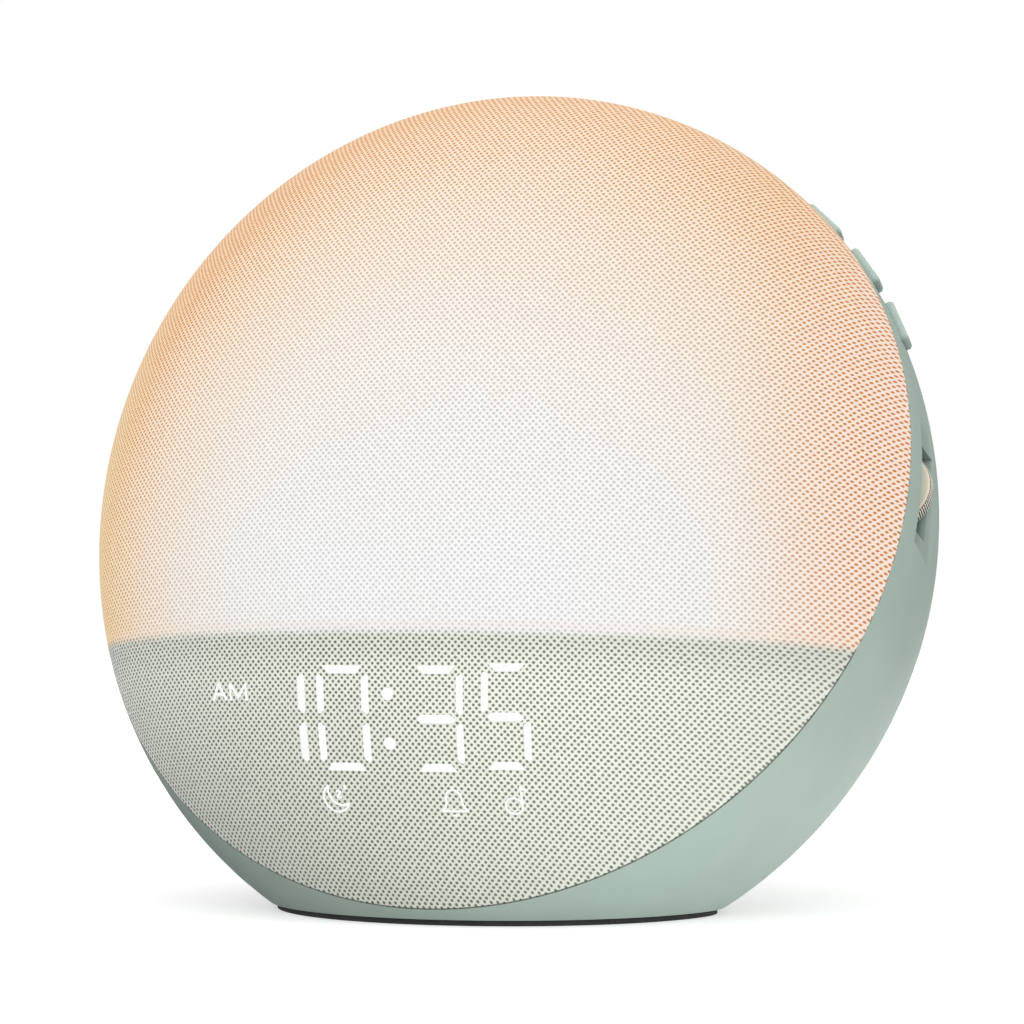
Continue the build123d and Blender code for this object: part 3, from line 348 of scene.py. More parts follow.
def clothTree(material):  # a square grid rolled into the dome and its hem, with the thread places on it
    look = clothLook
    add, given = newTree("clothDome", Vector=("Edge Centre", "Crown Centre", "Hem Centre"),
                         Float=("Edge Slope", "Crown Slope", "Hem Slope", "Hem Share", "Stretch",
                                "Loose Slope", "Pull Slope"), Int=("Around", "Rings"))
    grid = add("GeometryNodeMeshGrid", 1.0, 1.0, given["Around"], given["Rings"])
    x, y, none = add("SeparateXYZ", add("GeometryNodeInputPosition")).node.outputs
    turn = add("Math.MULTIPLY", x, 2 * pi)
    along = add("Math.ADD", y, 0.5)
    domeShare = add("Math.SUBTRACT", 1.0, given["Hem Share"])
    onDome = add("Math.MINIMUM", add("Math.DIVIDE", along, domeShare), 1.0)
    onHem = add("Math.MAXIMUM", add("Math.SUBTRACT", along, domeShare), 0.0)
    onHem = add("Math.DIVIDE", onHem, given["Hem Share"])
    hemTurn = add("Math.MULTIPLY", onHem, add("Math.SUBTRACT", given["Hem Slope"], given["Edge Slope"]))
    slope = add("Math.MULTIPLY_ADD", onDome, given["Edge Slope"], hemTurn)
    inHem = add("Math.GREATER_THAN", onHem, 0.0)
    inEdge = add("Math.GREATER_THAN", slope, given["Crown Slope"])
    arc = add("Mix", inEdge, given["Crown Centre"], given["Edge Centre"], data_type="VECTOR")
    arc = add("Mix", inHem, arc, given["Hem Centre"], data_type="VECTOR")
    centreR, centreW, radius = add("SeparateXYZ", arc).node.outputs
    reach = add("Math.MULTIPLY_ADD", radius, add("Math.SINE", slope), centreR)
    rise = add("Math.MULTIPLY_ADD", radius, add("Math.COSINE", slope), centreW)
    wayX = add("Math.COSINE", turn)
    wayY = add("Math.SINE", turn)
    stretched = add("Math.MULTIPLY", wayY, given["Stretch"])
    shaped = add("CombineXYZ", add("Math.MULTIPLY", reach, wayX),
                 add("Math.MULTIPLY", reach, stretched), rise)

    # thread place, in millimetres: where a point of the dome lay in the flat cloth; at the top the
    # threads stop spreading at the loose slope and stop being pulled at the pull slope
    edgeR, edgeW, edgeRadius = add("SeparateXYZ", given["Edge Centre"]).node.outputs
    topX, topY = look["topWay"]
    towards = add("Math.MULTIPLY_ADD", wayY, topY, add("Math.MULTIPLY", wayX, topX))
    top = add("MapRange", towards, *look["topFade"], **eased)
    loose = add("Math.SUBTRACT", given["Loose Slope"], given["Edge Slope"])
    loose = add("Math.MULTIPLY_ADD", loose, top, given["Edge Slope"])
    pull = add("Math.SUBTRACT", given["Pull Slope"], given["Edge Slope"])
    pull = add("Math.MULTIPLY_ADD", pull, top, given["Edge Slope"])
    past = add("Math.SUBTRACT", add("Math.MINIMUM", slope, given["Edge Slope"]), loose)
    past = add("Math.MAXIMUM", past, 0.0)
    looseReach = add("Math.MULTIPLY_ADD", edgeRadius, add("Math.SINE", loose), edgeR)
    spread = add("Math.MULTIPLY", edgeRadius, add("Math.COSINE", loose))
    flatReach = add("Math.MULTIPLY_ADD", spread, past, add("Math.MINIMUM", reach, looseReach))
    flatReach = add("Math.MULTIPLY_ADD", hemTurn, radius, flatReach)
    lowest = add("Math.MULTIPLY_ADD", edgeRadius, add("Math.COSINE", pull), edgeW)
    height = add("Math.SMOOTH_MAX", rise, lowest, look["pullFade"] * mm)
    pullX, pullY = look["pull"]
    threadX = add("Math.MULTIPLY_ADD", height, -pullX, add("Math.MULTIPLY", flatReach, wayX))
    threadY = add("Math.MULTIPLY_ADD", height, -pullY, add("Math.MULTIPLY", flatReach, stretched))
    threads = add("VectorMath.SCALE", add("CombineXYZ", threadX, threadY), 1 / mm)
    laid = add("GeometryNodeStoreNamedAttribute", grid, Name="threadPlace", Value=threads,
               data_type="FLOAT2", domain="CORNER")
    moved = add("GeometryNodeSetPosition", laid, Position=shaped)
    placed = add("GeometryNodeTransform", moved, Translation=panelOrigin, Rotation=panelTurn.to_euler())
    closed = add("GeometryNodeMergeByDistance", placed, Distance=1e-6)
    return endTree(add, add("GeometryNodeSetShadeSmooth", closed), material)


def makeCloth():
    look = clothLook
    edge, crown = domeArcs()
    first = radians(bodyForm["edgeSlope"])
    roll = look["hemRadius"]
    hem = (edge[0] + (edge[2] - roll) * sin(first), edge[1] + (edge[2] - roll) * cos(first), roll)
    return runTree("clothFront", clothTree(clothMaterial()), {
        "Edge Centre": [v * mm for v in edge], "Crown Centre": [v * mm for v in crown],
        "Hem Centre": [v * mm for v in hem], "Edge Slope": first,
        "Crown Slope": radians(bodyForm["crownSlope"]), "Hem Slope": radians(look["hemSlope"]),
        "Loose Slope": radians(look["looseSlope"]), "Pull Slope": radians(look["pullSlope"]),
        "Hem Share": look["hemShare"], "Stretch": stretch,
        "Around": look["around"] + 1, "Rings": look["rings"]})


cloth = makeCloth()
facet = cloth.data.polygons[5000]  # any one on the dome
if facet.normal.dot(facet.center - panelOrigin) < 0:
    print("cloth turned outwards")
    cloth.data.flip_normals()
giveUp(cloth, "clock_body", "woven_fabric", "front_fabric")
print("cloth", len(cloth.data.polygons), "faces")


# ---- lit strokes and marks that shine through the cloth
displayLook = {
    "digits": [  # middle, lit strokes, width, bar length, upright's thickness, raised by, sheared by
        (-21.3, "bc", 9.1, 8.3, 1.60, 0.0, 0.040),
        (-8.2, "abcdef", 9.1, 8.3, 1.50, 0.0, 0.045),
        (9.85, "abcdg", 8.75, 7.3, 1.28, 0.0, 0.060),
        (22.5, "acdfg", 7.6, 6.6, 1.26, 0.45, 0.080)],
    "digitMiddle": 40.0,  # mm above the table
    "digitHeight": 18.0,
    "strokeThickness": 1.5,
    "middleBarExtra": 0.15,  # mm that the middle bar is thicker
    "uprightLength": 7.6,
    "taper": 1.7,  # how fast a stroke gets shorter away from its longest line
    "outerTaper": 1.5,  # how much faster on that line's outer side
    "barPeak": 0.5,  # where across its thickness a stroke is longest: top and bottom bar, uprights
    "uprightPeak": 0.2,
    "colonPlace": 0.8,
    "colonSpacing": 9.1,
    "colonShear": 0.045,
    "colonRadius": 1.16,
    "lift": 0.12,  # mm over the cloth
    "lineWidth": 0.42,  # thin marks
    "letterWidth": 0.50,
    "markScale": 0.93,
    "markStep": 0.25,  # mm between a line's points
    "letterPlace": -33.2,
    "letterHeight": 44.6,
    "iconHeight": 24.9,
    "icons": {"moon": -12.0, "bell": 11.3, "note": 22.4},
}


def lampMaterial():
    # lamp light through the cloth: even white, with a trace of the threads in it
    material, add = newMaterial("lampLightThroughCloth")
    grain = add("TexNoise", millimetres(add), Scale=1.2, Detail=2.0)
    colour = add("ValToRGB", grain, stops=[(0.3, "#F6F7F6"), (0.6, "#FDFDFD")])
    return finish(material, add, srgb("#303030"), Roughness=0.8, EmissionColor=colour, EmissionStrength=0.97)


def laidOnCloth(add, geometry, place, clothObject, lift):  # moves a flat drawing back onto the cloth
    clear = 0.3  # m in front of the drawing, and so in front of the cloth
    target = add("GeometryNodeObjectInfo", clothObject, transform_space="RELATIVE").node.outputs["Geometry"]
    ahead = add("VectorMath.ADD", place, (0, -clear, 0))
    found = add("GeometryNodeRaycast", target, SourcePosition=ahead, RayDirection=(0, 1, 0),
                RayLength=2 * clear).node.outputs
    over = add("VectorMath.SCALE", found["Hit Normal"], lift)
    spot = add("VectorMath.ADD", found["Hit Position"], over)
    return add("GeometryNodeSetPosition", geometry, Position=spot)


def strokeTree(material):  # one grid on every spot, cut to its stroke and laid on the cloth
    look = displayLook
    add, given = newTree("litStrokes", Object=("Cloth",), Float=("Dot Radius", "Lift"))
    length, turn, peak, thick = (add("GeometryNodeInputNamedAttribute", name, data_type="FLOAT")
                                 for name in ("length", "turn", "peak", "thick"))
    own, spot = (add("GeometryNodeInputNamedAttribute", name, data_type="FLOAT_VECTOR")
                 for name in ("own", "spot"))
    position = add("GeometryNodeInputPosition")
    grid = add("GeometryNodeMeshGrid", 1.0, 1.0, 13, 9)
    kept = add("GeometryNodeStoreNamedAttribute", grid, Name="own", Value=position,
               data_type="FLOAT_VECTOR", domain="POINT")
    isBar = add("FunctionNodeCompare.GREATER_THAN", length, 0.0)
    bars = add("GeometryNodeInstanceOnPoints", given["Geometry"], isBar, kept)
    bars = add("GeometryNodeRealizeInstances", bars)
    x, y, none = add("SeparateXYZ", own).node.outputs
    inside = add("Math.MAXIMUM", add("Math.SUBTRACT", peak, y), 0.0)
    outside = add("Math.MAXIMUM", add("Math.SUBTRACT", y, peak), 0.0)
    slant = add("Math.MULTIPLY_ADD", outside, look["outerTaper"], inside)
    slant = add("Math.MULTIPLY", slant, add("Math.MULTIPLY", thick, look["taper"]))
    along = add("Math.MULTIPLY", x, add("Math.SUBTRACT", length, slant))
    flat = add("CombineXYZ", along, Z=add("Math.MULTIPLY", y, thick))
    turned = add("VectorRotate", flat, Axis=(0, -1, 0), Angle=turn)
    place = add("VectorMath.ADD", turned, spot)
    bars = laidOnCloth(add, bars, place, given["Cloth"], given["Lift"])
    isDot = add("FunctionNodeBooleanMath.NOT", isBar)
    disc = add("GeometryNodeMeshCircle", 32, given["Dot Radius"], fill_type="TRIANGLE_FAN")
    dots = add("GeometryNodeInstanceOnPoints", given["Geometry"], isDot, disc, Rotation=(pi / 2, 0, 0))
    dots = add("GeometryNodeRealizeInstances", dots)
    dots = laidOnCloth(add, dots, position, given["Cloth"], given["Lift"])
    return endTree(add, add("GeometryNodeJoinGeometry", [bars, dots]), material)


def strokeSpots():  # one entry per stroke: x, z, length, turn, peak, thickness
    look = displayLook
    half, middle, upright = look["digitHeight"] / 2, look["digitMiddle"], look["uprightLength"]
    thin, outer, inner = look["strokeThickness"], look["barPeak"], look["uprightPeak"]
    spots = []
    for place, shown, width, bar, thick, raised, shear in look["digits"]:
        side, down, up = width / 2, -pi / 2 - shear, pi / 2 - shear
        strokes = {
            "a": (0, half, bar, 0, outer, thin),
            "b": (side, half / 2, upright, down, inner, thick),
            "c": (side, -half / 2, upright, down, inner, thick),
            "d": (0, -half, bar, pi, outer, thin),
            "e": (-side, -half / 2, upright, up, inner, thick),
            "f": (-side, half / 2, upright, up, inner, thick),
            "g": (0, 0, bar, 0, 0.0, thin + look["middleBarExtra"])}
        for letter in shown:
            x, z, *rest = strokes[letter]
            spots.append((place + x + z * shear, middle + raised + z, *rest))
    for z in (look["colonSpacing"] / 2, -look["colonSpacing"] / 2):
        spots.append((look["colonPlace"] + z * look["colonShear"], middle + z, 0, 0, 0, 0))
    return spots


def makeStrokes(material):
    look = displayLook
    spots = strokeSpots()
    places = [(x * mm, 0, z * mm) for x, z, *rest in spots]
    start = bpy.data.meshes.new("strokeSpots")
    start.from_pydata(places, [], [])
    for index, name, scale in ((2, "length", mm), (3, "turn", 1.0), (4, "peak", 1.0), (5, "thick", mm)):
        values = [spot[index] * scale for spot in spots]
        start.attributes.new(name, "FLOAT", "POINT").data.foreach_set("value", values)
    where = np.array(places, np.float32)
    start.attributes.new("spot", "FLOAT_VECTOR", "POINT").data.foreach_set("vector", where.ravel())
    return runTree("litStrokes", strokeTree(material), {
        "Cloth": cloth, "Dot Radius": look["colonRadius"] * mm, "Lift": look["lift"] * mm}, start)


def arcThrough(start, middle, end, steps=12):  # points of the arc through three places
    (ax, ay), (bx, by), (cx, cy) = start, middle, end
    d = 2 * (ax * (by - cy) + bx * (cy - ay) + cx * (ay - by))
    a2, b2, c2 = ax * ax + ay * ay, bx * bx + by * by, cx * cx + cy * cy
    ox = (a2 * (by - cy) + b2 * (cy - ay) + c2 * (ay - by)) / d
    oy = (a2 * (cx - bx) + b2 * (ax - cx) + c2 * (bx - ax)) / d
    first, mid, last = (np.arctan2(y - oy, x - ox) for x, y in (start, middle, end))
    sweep = (last - first) % (2 * pi)
    if (mid - first) % (2 * pi) > sweep:
        sweep -= 2 * pi
    radius = np.hypot(ax - ox, ay - oy)
    turns = [first + sweep * k / steps for k in range(steps + 1)]
    return [(ox + radius * cos(turn), oy + radius * sin(turn)) for turn in turns]


def markLines():  # thin marks as open lines round their own middle: the letters, moon, bell and note
    letters = [[(-4.4, -1.7), (-2.7, 1.7), (-0.9, -1.7)], [(-3.8, -0.55), (-1.5, -0.55)],
               [(0.3, -1.7), (0.3, 1.7), (2.35, -1.1), (4.4, 1.7), (4.4, -1.7)]]
    moon = [arcThrough((-1.27, 2.6), (-1.9, -1.9), (2.75, -0.97), 24),
            arcThrough((-1.27, 2.6), (-0.45, -0.75), (2.75, -0.97), 18),
            [(0.3, 1.5), (1.35, 1.5), (0.3, 0.25), (1.5, 0.25)],
            [(2.2, 2.5), (2.65, 2.5), (2.2, 2.0), (2.7, 2.0)]]
    bell = [arcThrough((-2.5, -2.15), (-1.75, -1.1), (-1.5, 0.35), 8)
            + arcThrough((-1.5, 0.35), (0, 2.1), (1.5, 0.35), 14)
            + arcThrough((1.5, 0.35), (1.75, -1.1), (2.5, -2.15), 8), [(-2.7, -2.15), (2.7, -2.15)],
            [(-0.6, -3.05), (0.6, -3.05)], [(0, 2.1), (0, 2.95)]]
    head = [(-0.4 + 1.6 * cos(pi * k / 12), -1.05 + 1.6 * sin(pi * k / 12)) for k in range(25)]
    note = [head, [(1.25, -1.05), (1.25, 2.95)], arcThrough((1.25, 2.95), (1.6, 2.35), (2.3, 2.1), 6)]
    look = displayLook
    placed = [(look["letterPlace"], look["letterHeight"], letters)]
    for name, drawing in (("moon", moon), ("bell", bell), ("note", note)):
        placed.append((look["icons"][name], look["iconHeight"], drawing))
    return placed


def markTree(material):  # lines laid on the cloth and given their width
    add, given = newTree("litMarks", Object=("Cloth",), Float=("Lift", "Step"))
    lines = add("GeometryNodeMeshToCurve", given["Geometry"])
    even = add("GeometryNodeResampleCurve", lines, Length=given["Step"], mode="LENGTH")
    laid = laidOnCloth(add, even, add("GeometryNodeInputPosition"), given["Cloth"], given["Lift"])
    section = add("GeometryNodeCurvePrimitiveCircle", 8, 1.0)
    halfWidth = add("GeometryNodeInputNamedAttribute", "halfWidth", data_type="FLOAT")
    thick = add("GeometryNodeCurveToMesh", laid, section, Scale=halfWidth, FillCaps=True)
    return endTree(add, thick, material)


def makeMarks(material):
    look = displayLook
    points, edges, widths, scale = [], [], [], look["markScale"]
    for x, z, drawing in markLines():
        width = look["letterWidth"] if x == look["letterPlace"] else look["lineWidth"]
        for line in drawing:
            edges += [(len(points) + k, len(points) + k + 1) for k in range(len(line) - 1)]
            points += [((x + a * scale) * mm, 0, (z + b * scale) * mm) for a, b in line]
            widths += [width / 2 * mm] * len(line)
    start = bpy.data.meshes.new("markLines")
    start.from_pydata(points, edges, [])
    start.attributes.new("halfWidth", "FLOAT", "POINT").data.foreach_set("value", widths)
    return runTree("litMarks", markTree(material), {
        "Cloth": cloth, "Lift": 0.0, "Step": look["markStep"] * mm}, start)


lampLight = lampMaterial()
for piece in (makeStrokes(lampLight), makeMarks(lampLight)):
    giveUp(piece, "clock_body", "light_guide")
    print(piece.name, len(piece.data.polygons), "faces")


# ---- moulded shells
shellLook = {
    "light": "#A5B7AD",  # sage green, the pigment's lighter and deeper tone
    "deep": "#9DAFA5",
    "roughness": 0.42,
    "grain": 0.28,  # mm, spark-eroded mould texture
    "grainDepth": 0.004,
    "mottle": 14.0,
    "shallowTone": (0.0, 0.7, 0.80),  # mm under the outer form where painted shade starts and ends, what is left
    "deepTone": (1.2, 3.5, 0.35),
    "onSurface": 0.06,  # mm, how near a corner is to the outer form to follow it
    "sameWay": 0.985,  # and how well a face's normal agrees with the form's
}


def mouldedAbs(name, light, deep, roughness, grain, grainDepth, mottle, shade=None):
    # ABS moulded in a spark-eroded tool: satin, very fine even grain, faint drift of tone
    material, add = newMaterial(name)
    place = millimetres(add)
    drift = add("TexNoise", place, Scale=1 / mottle, Detail=3.0)
    fine = add("TexNoise", place, Scale=1 / grain, Detail=4.0, Roughness=0.65)
    tone = add("Math.MULTIPLY_ADD", fine, 0.35, add("Math.MULTIPLY", drift, 0.65))
    colour = add("ValToRGB", tone, stops=[(0.3, deep), (0.7, light)])
    if shade:
        colour = shade(add, colour)
    return finish(material, add, colour, (fine, roughness - 0.06, roughness + 0.08), (fine, 0.5, grainDepth),
                  IOR=1.53, SpecularIORLevel=0.45)


def mergedCopy(node, name, material, sharpAngle=32):  # a node's mesh with joined corners, smoothly shaded
    mesh = nodes[node].data.copy()
    mesh.name = name
    if "custom_normal" in mesh.attributes:
        mesh.attributes.remove(mesh.attributes["custom_normal"])
    shape = bmesh.new()
    shape.from_mesh(mesh)
    bmesh.ops.remove_doubles(shape, verts=shape.verts, dist=2e-6)
    for face in shape.faces:
        face.smooth = True
    for edge in shape.edges:
        edge.smooth = len(edge.link_faces) == 2 and edge.calc_face_angle(0) < radians(sharpAngle)
    shape.to_mesh(mesh)
    shape.free()
    mesh.materials.clear()
    mesh.materials.append(material)
    obj = bpy.data.objects.new(name, mesh)
    scene.collection.objects.link(obj)
    return obj


def outerForm(points):  # normal of the housing's outer form at each point, how deep under it, whether on it
    local = (np.asarray(points) - np.array(panelOrigin)) @ np.array(panelTurn) / mm
    flat = local[:, :2] / (1.0, stretch)
    reach = np.hypot(flat[:, 0], flat[:, 1])
    depth = -local[:, 2]
    normals, under, known = np.zeros((len(local), 3)), np.zeros(len(local)), np.zeros(len(local), bool)
    last = radians(bodyForm["wallSlope"])
    for centreR, centreW, radius, nextSlope in backArcs():
        slope = np.arctan2(reach - centreR, depth - centreW)
        here = (slope <= last + 0.01) & (slope >= nextSlope - 0.01) & ~known
        out = flat[here] / np.maximum(reach[here], 1e-9)[:, None]
        normals[here, :2] = out * np.sin(slope[here])[:, None] / (1.0, stretch)
        normals[here, 2] = -np.cos(slope[here])
        under[here] = radius - np.hypot(reach - centreR, depth - centreW)[here]
        known |= here
        last = nextSlope
    normals /= np.maximum(np.linalg.norm(normals, axis=1), 1e-9)[:, None]
    onForm = known & (abs(under) < shellLook["onSurface"]) & (depth > 0.02)
    return normals @ np.array(panelTurn).T, under, onForm


def followForm(obj):  # the outer faces shade as the smooth form, so no facets show
    mesh = obj.data
    vertexOf = np.array([loop.vertex_index for loop in mesh.loops])
    shading = np.array([n.vector for n in mesh.corner_normals])
    faceOf = np.repeat(np.arange(len(mesh.polygons)), [p.loop_total for p in mesh.polygons])
    faceNormal = np.array([p.normal for p in mesh.polygons])[faceOf]
    normals, under, found = outerForm([vertex.co for vertex in mesh.vertices])
    normals = normals[vertexOf]
    outer = found[vertexOf] & (np.einsum("ij,ij->i", normals, faceNormal) > shellLook["sameWay"])
    shading[outer] = normals[outer]
    mesh.normals_split_custom_set(shading.tolist())


def markDepth(obj):  # every point keeps how deep under the outer form it lies, for the painted shade in the finish
    under = np.maximum(outerForm([vertex.co for vertex in obj.data.vertices])[1], 0.0)
    obj.data.attributes.new("under", "FLOAT", "POINT").data.foreach_set("value", under.astype(np.float32))


def shellPaintedShade(add, colour):  # painted shadow along the seam, and painted shade that gets darker the deeper a face lies in the recess or a hole
    under = add("Attribute", attribute_name="under").node.outputs["Fac"]
    tone = 1.0
    for start, end, least in (shellLook["shallowTone"], shellLook["deepTone"]):
        tone = add("Math.MULTIPLY", add("MapRange", under, start, end, 1.0, least, **eased), tone)
    return seamShade(add, add("VectorMath.SCALE", colour, tone))


def makeShells():
    look = shellLook
    sage = mouldedAbs("sageAbs", look["light"], look["deep"], look["roughness"], look["grain"],
                      look["grainDepth"], look["mottle"], shellPaintedShade)
    housing = mergedCopy("rear_housing", "housingShell", sage)
    followForm(housing)
    markDepth(housing)
    giveUp(housing, "clock_body", "sage_abs", "rear_housing")
    for name in ("lower", "middle", "upper"):
        key = mergedCopy("key_" + name, name + "Key", sage)
        markDepth(key)
        giveUp(key, "key_" + name, "sage_abs", "key_" + name)
    print("shells", len(housing.data.polygons), "faces")


makeShells()


# ---- scroll wheel
wheelLook = {
    "place": (77.9, 5.9, -13.75),  # mm in the panel's frame: its middle
    "radius": 8.70,  # under the ribs
    "ribRing": 8.78,  # where the ribs have their middle
    "bore": 1.56,
    "thickness": 3.6,
    "cornerPower": 0.16,
    "ribs": 96,
    "ribRadius": 0.16,
    "ribLength": 2.9,
    "cream": "#DAD2BF",
    "shade": "#CFC8B4",
    "tip": "#F1ECE0",  # painted highlight on top of the ribs
    "tipFade": (0.12, 0.03),  # mm under the top where that begins and is full
    "groove": "#787262",  # painted shade between them
    "grooveDepth": 0.1,
    "finish": (0.45, 0.25, 0.004, 6.0),  # roughness, grain, grain depth, mottle
}


def wheelTree(material):  # a round-cornered ring with ribs on it
    add, given = newTree("ribbedWheel", Int=("Ribs",), Vector=("Place",),
                         Float=("Radius", "Bore", "Thickness", "Corner", "Rib Radius", "Rib Length",
                                "Rib Ring"))
    grid = add("GeometryNodeMeshGrid", 1.0, 1.0, 185, 49)
    x, y, none = add("SeparateXYZ", add("GeometryNodeInputPosition")).node.outputs
    turn = add("Math.MULTIPLY", x, 2 * pi)
    section = add("Math.MULTIPLY", y, 2 * pi)

    def rounded(wave):  # a circle's wave, flattened to that of a rounded square
        power = add("Math.POWER", add("Math.ABSOLUTE", wave), given["Corner"])
        return add("Math.MULTIPLY", power, add("Math.SIGN", wave))

    middle = add("Math.MULTIPLY", add("Math.ADD", given["Radius"], given["Bore"]), 0.5)
    half = add("Math.MULTIPLY", add("Math.SUBTRACT", given["Radius"], given["Bore"]), 0.5)
    reach = add("Math.MULTIPLY_ADD", half, rounded(add("Math.COSINE", section)), middle)
    halfThick = add("Math.MULTIPLY", given["Thickness"], 0.5)
    rise = add("Math.MULTIPLY", halfThick, rounded(add("Math.SINE", section)))
    shaped = add("CombineXYZ", add("Math.MULTIPLY", reach, add("Math.COSINE", turn)),
                 add("Math.MULTIPLY", reach, add("Math.SINE", turn)), rise)
    disc = add("GeometryNodeSetPosition", grid, Position=shaped)
    closed = add("GeometryNodeMergeByDistance", disc, Distance=2e-6)
    ring = add("GeometryNodeMeshCircle", given["Ribs"], given["Rib Ring"])
    rib = add("GeometryNodeMeshCylinder", 10, Radius=given["Rib Radius"], Depth=given["Rib Length"])
    ribs = add("GeometryNodeInstanceOnPoints", ring, Instance=rib)
    both = add("GeometryNodeJoinGeometry", [closed, ribs])
    placed = add("GeometryNodeTransform", both, Translation=given["Place"], Rotation=panelTurn.to_euler())
    return endTree(add, add("GeometryNodeSetShadeSmooth", placed), material)


def ribHighlightAndShade(add, colour):  # painted highlight on the rib tops and painted shade in the grooves, by how far a point is from the wheel's axis
    look = wheelLook
    middle = panelPlace @ (Vector(look["place"]) * mm) / mm
    off = add("VectorMath.SUBTRACT", millimetres(add), middle)
    along = add("VectorMath.DOT_PRODUCT", off, outward)
    square = add("VectorMath.DOT_PRODUCT", off, off)
    reach = add("Math.SQRT", add("Math.SUBTRACT", square, add("Math.MULTIPLY", along, along)))
    top = look["ribRing"] + look["ribRadius"]
    ribbed = add("Math.LESS_THAN", add("Math.ABSOLUTE", along), look["ribLength"] / 2)
    outside = add("Math.GREATER_THAN", reach, look["radius"] - look["grooveDepth"])
    groove = add("Math.MULTIPLY", outside, ribbed)
    clean, full = look["tipFade"]
    tip = add("MapRange", reach, top - clean, top - full, **eased)
    colour = add("Mix", groove, colour, srgb(look["groove"]), data_type="RGBA")
    return add("Mix", tip, colour, srgb(look["tip"]), data_type="RGBA")


def makeWheel():
    look = wheelLook
    cream = mouldedAbs("creamAbs", look["cream"], look["shade"], *look["finish"], ribHighlightAndShade)
    place = panelPlace @ (Vector(look["place"]) * mm)
    wheel = runTree("scrollWheel", wheelTree(cream), {
        "Radius": look["radius"] * mm, "Bore": look["bore"] * mm, "Thickness": look["thickness"] * mm,
        "Corner": look["cornerPower"], "Ribs": look["ribs"], "Rib Radius": look["ribRadius"] * mm,
        "Rib Length": look["ribLength"] * mm, "Rib Ring": look["ribRing"] * mm, "Place": list(place)})
    giveUp(wheel, "scroll_wheel", "cream_abs", "scroll_wheel")
    print("wheel", len(wheel.data.polygons), "faces")


makeWheel()


# ---- finishes of the pieces inside and underneath; sizes in mm
plastics = {  # record's slot: name, light, deep, roughness, grain, grain depth, mottle
    "white_abs": ("whiteAbs", "#EFEFEC", "#E1E1DC", 0.46, 0.30, 0.004, 11.0),
    "black_abs": ("blackAbs", "#2B2B2C", "#1C1C1D", 0.50, 0.26, 0.006, 9.0),
    "chip": ("blackEpoxy", "#262626", "#161617", 0.62, 0.12, 0.008, 2.5),
}
metals = {  # record's slot: name, light, deep, roughness, streak across and along, dent depth
    "capacitor": ("drawnAluminium", "#DADBDD", "#BFC1C4", 0.30, (0.25, 4.0), 0.003),
    "steel_screw": ("zincPlatedSteel", "#C9C7BE", "#A3A199", 0.36, (0.20, 0.6), 0.006),
    "cell_steel": ("nickelPlatedSteel", "#D8D5CC", "#BFBBB0", 0.24, (0.30, 2.0), 0.002),
    "pin_brass": ("nickelPlatedBrass", "#D9CDA4", "#C2AE74", 0.22, (0.10, 1.2), 0.002),
    "axle_steel": ("groundSteel", "#D3D3D3", "#AFB0B1", 0.20, (0.06, 3.0), 0.002),
    "bracket_steel": ("pressedSteel", "#BDBFC1", "#97999C", 0.40, (0.40, 7.0), 0.005),
}


def streakedMetal(name, light, deep, roughness, streak, dent):
    # metal with the marks of how it was worked: long fine streaks that break up its highlights
    material, add = newMaterial(name)
    across, along = streak
    lines = add("VectorMath.MULTIPLY", millimetres(add), (1 / across, 1 / across, 1 / along))
    streaks = add("TexNoise", lines, Scale=1.0, Detail=4.0, Roughness=0.6)
    stain = add("TexNoise", millimetres(add), Scale=0.25, Detail=3.0)
    tone = add("Math.MULTIPLY_ADD", streaks, 0.55, add("Math.MULTIPLY", stain, 0.45))
    colour = add("ValToRGB", tone, stops=[(0.3, deep), (0.68, light)])
    return finish(material, add, colour, (streaks, roughness - 0.08, roughness + 0.12), (streaks, 0.6, dent),
                  Metallic=1.0)


def opalPolycarbonate():
    # injection-moulded opal polycarbonate: milky, light spreads inside it, slight flow lines
    material, add = newMaterial("opalPolycarbonate")
    place = millimetres(add)
    flow = add("TexNoise", place, Scale=0.05, Detail=3.0, Distortion=0.8)
    fine = add("TexNoise", place, Scale=3.0, Detail=3.0)
    colour = add("ValToRGB", flow, stops=[(0.35, "#EFECE4"), (0.65, "#F8F6F1")])
    return finish(material, add, colour, (fine, 0.34, 0.5), (fine, 0.4, 0.004), IOR=1.585,
                  SubsurfaceWeight=0.35, SubsurfaceRadius=(0.004, 0.004, 0.0035), SubsurfaceScale=1.0)


def polishedAcrylic(name, light, deep, lampLight):
    # clear acrylic guide: polished sides, a faint drawn texture, lit from its lamp end where a lamp is on
    material, add = newMaterial(name)
    place = millimetres(add)
    drawn = add("TexNoise", place, Scale=0.9, Detail=2.0, Distortion=1.2)
    colour = add("ValToRGB", drawn, stops=[(0.3, deep), (0.7, light)])
    return finish(material, add, colour, (drawn, 0.04, 0.16), (drawn, 0.3, 0.01), IOR=1.49,
                  TransmissionWeight=0.7, EmissionColor=colour, EmissionStrength=lampLight)


def phosphorLamp():
    # white lamp package: glossy moulded frame with yellow phosphor gel that settles unevenly
    material, add = newMaterial("phosphorLamp")
    place = millimetres(add)
    gel = add("TexVoronoi", place, Scale=0.9)
    colour = add("ValToRGB", gel, stops=[(0.15, "#EFCF5C"), (0.4, "#F1DC92"), (0.6, "#F2EFE6")])
    fine = add("TexNoise", place, Scale=6.0, Detail=2.0)
    return finish(material, add, colour, (fine, 0.18, 0.4), IOR=1.5, CoatWeight=0.2)


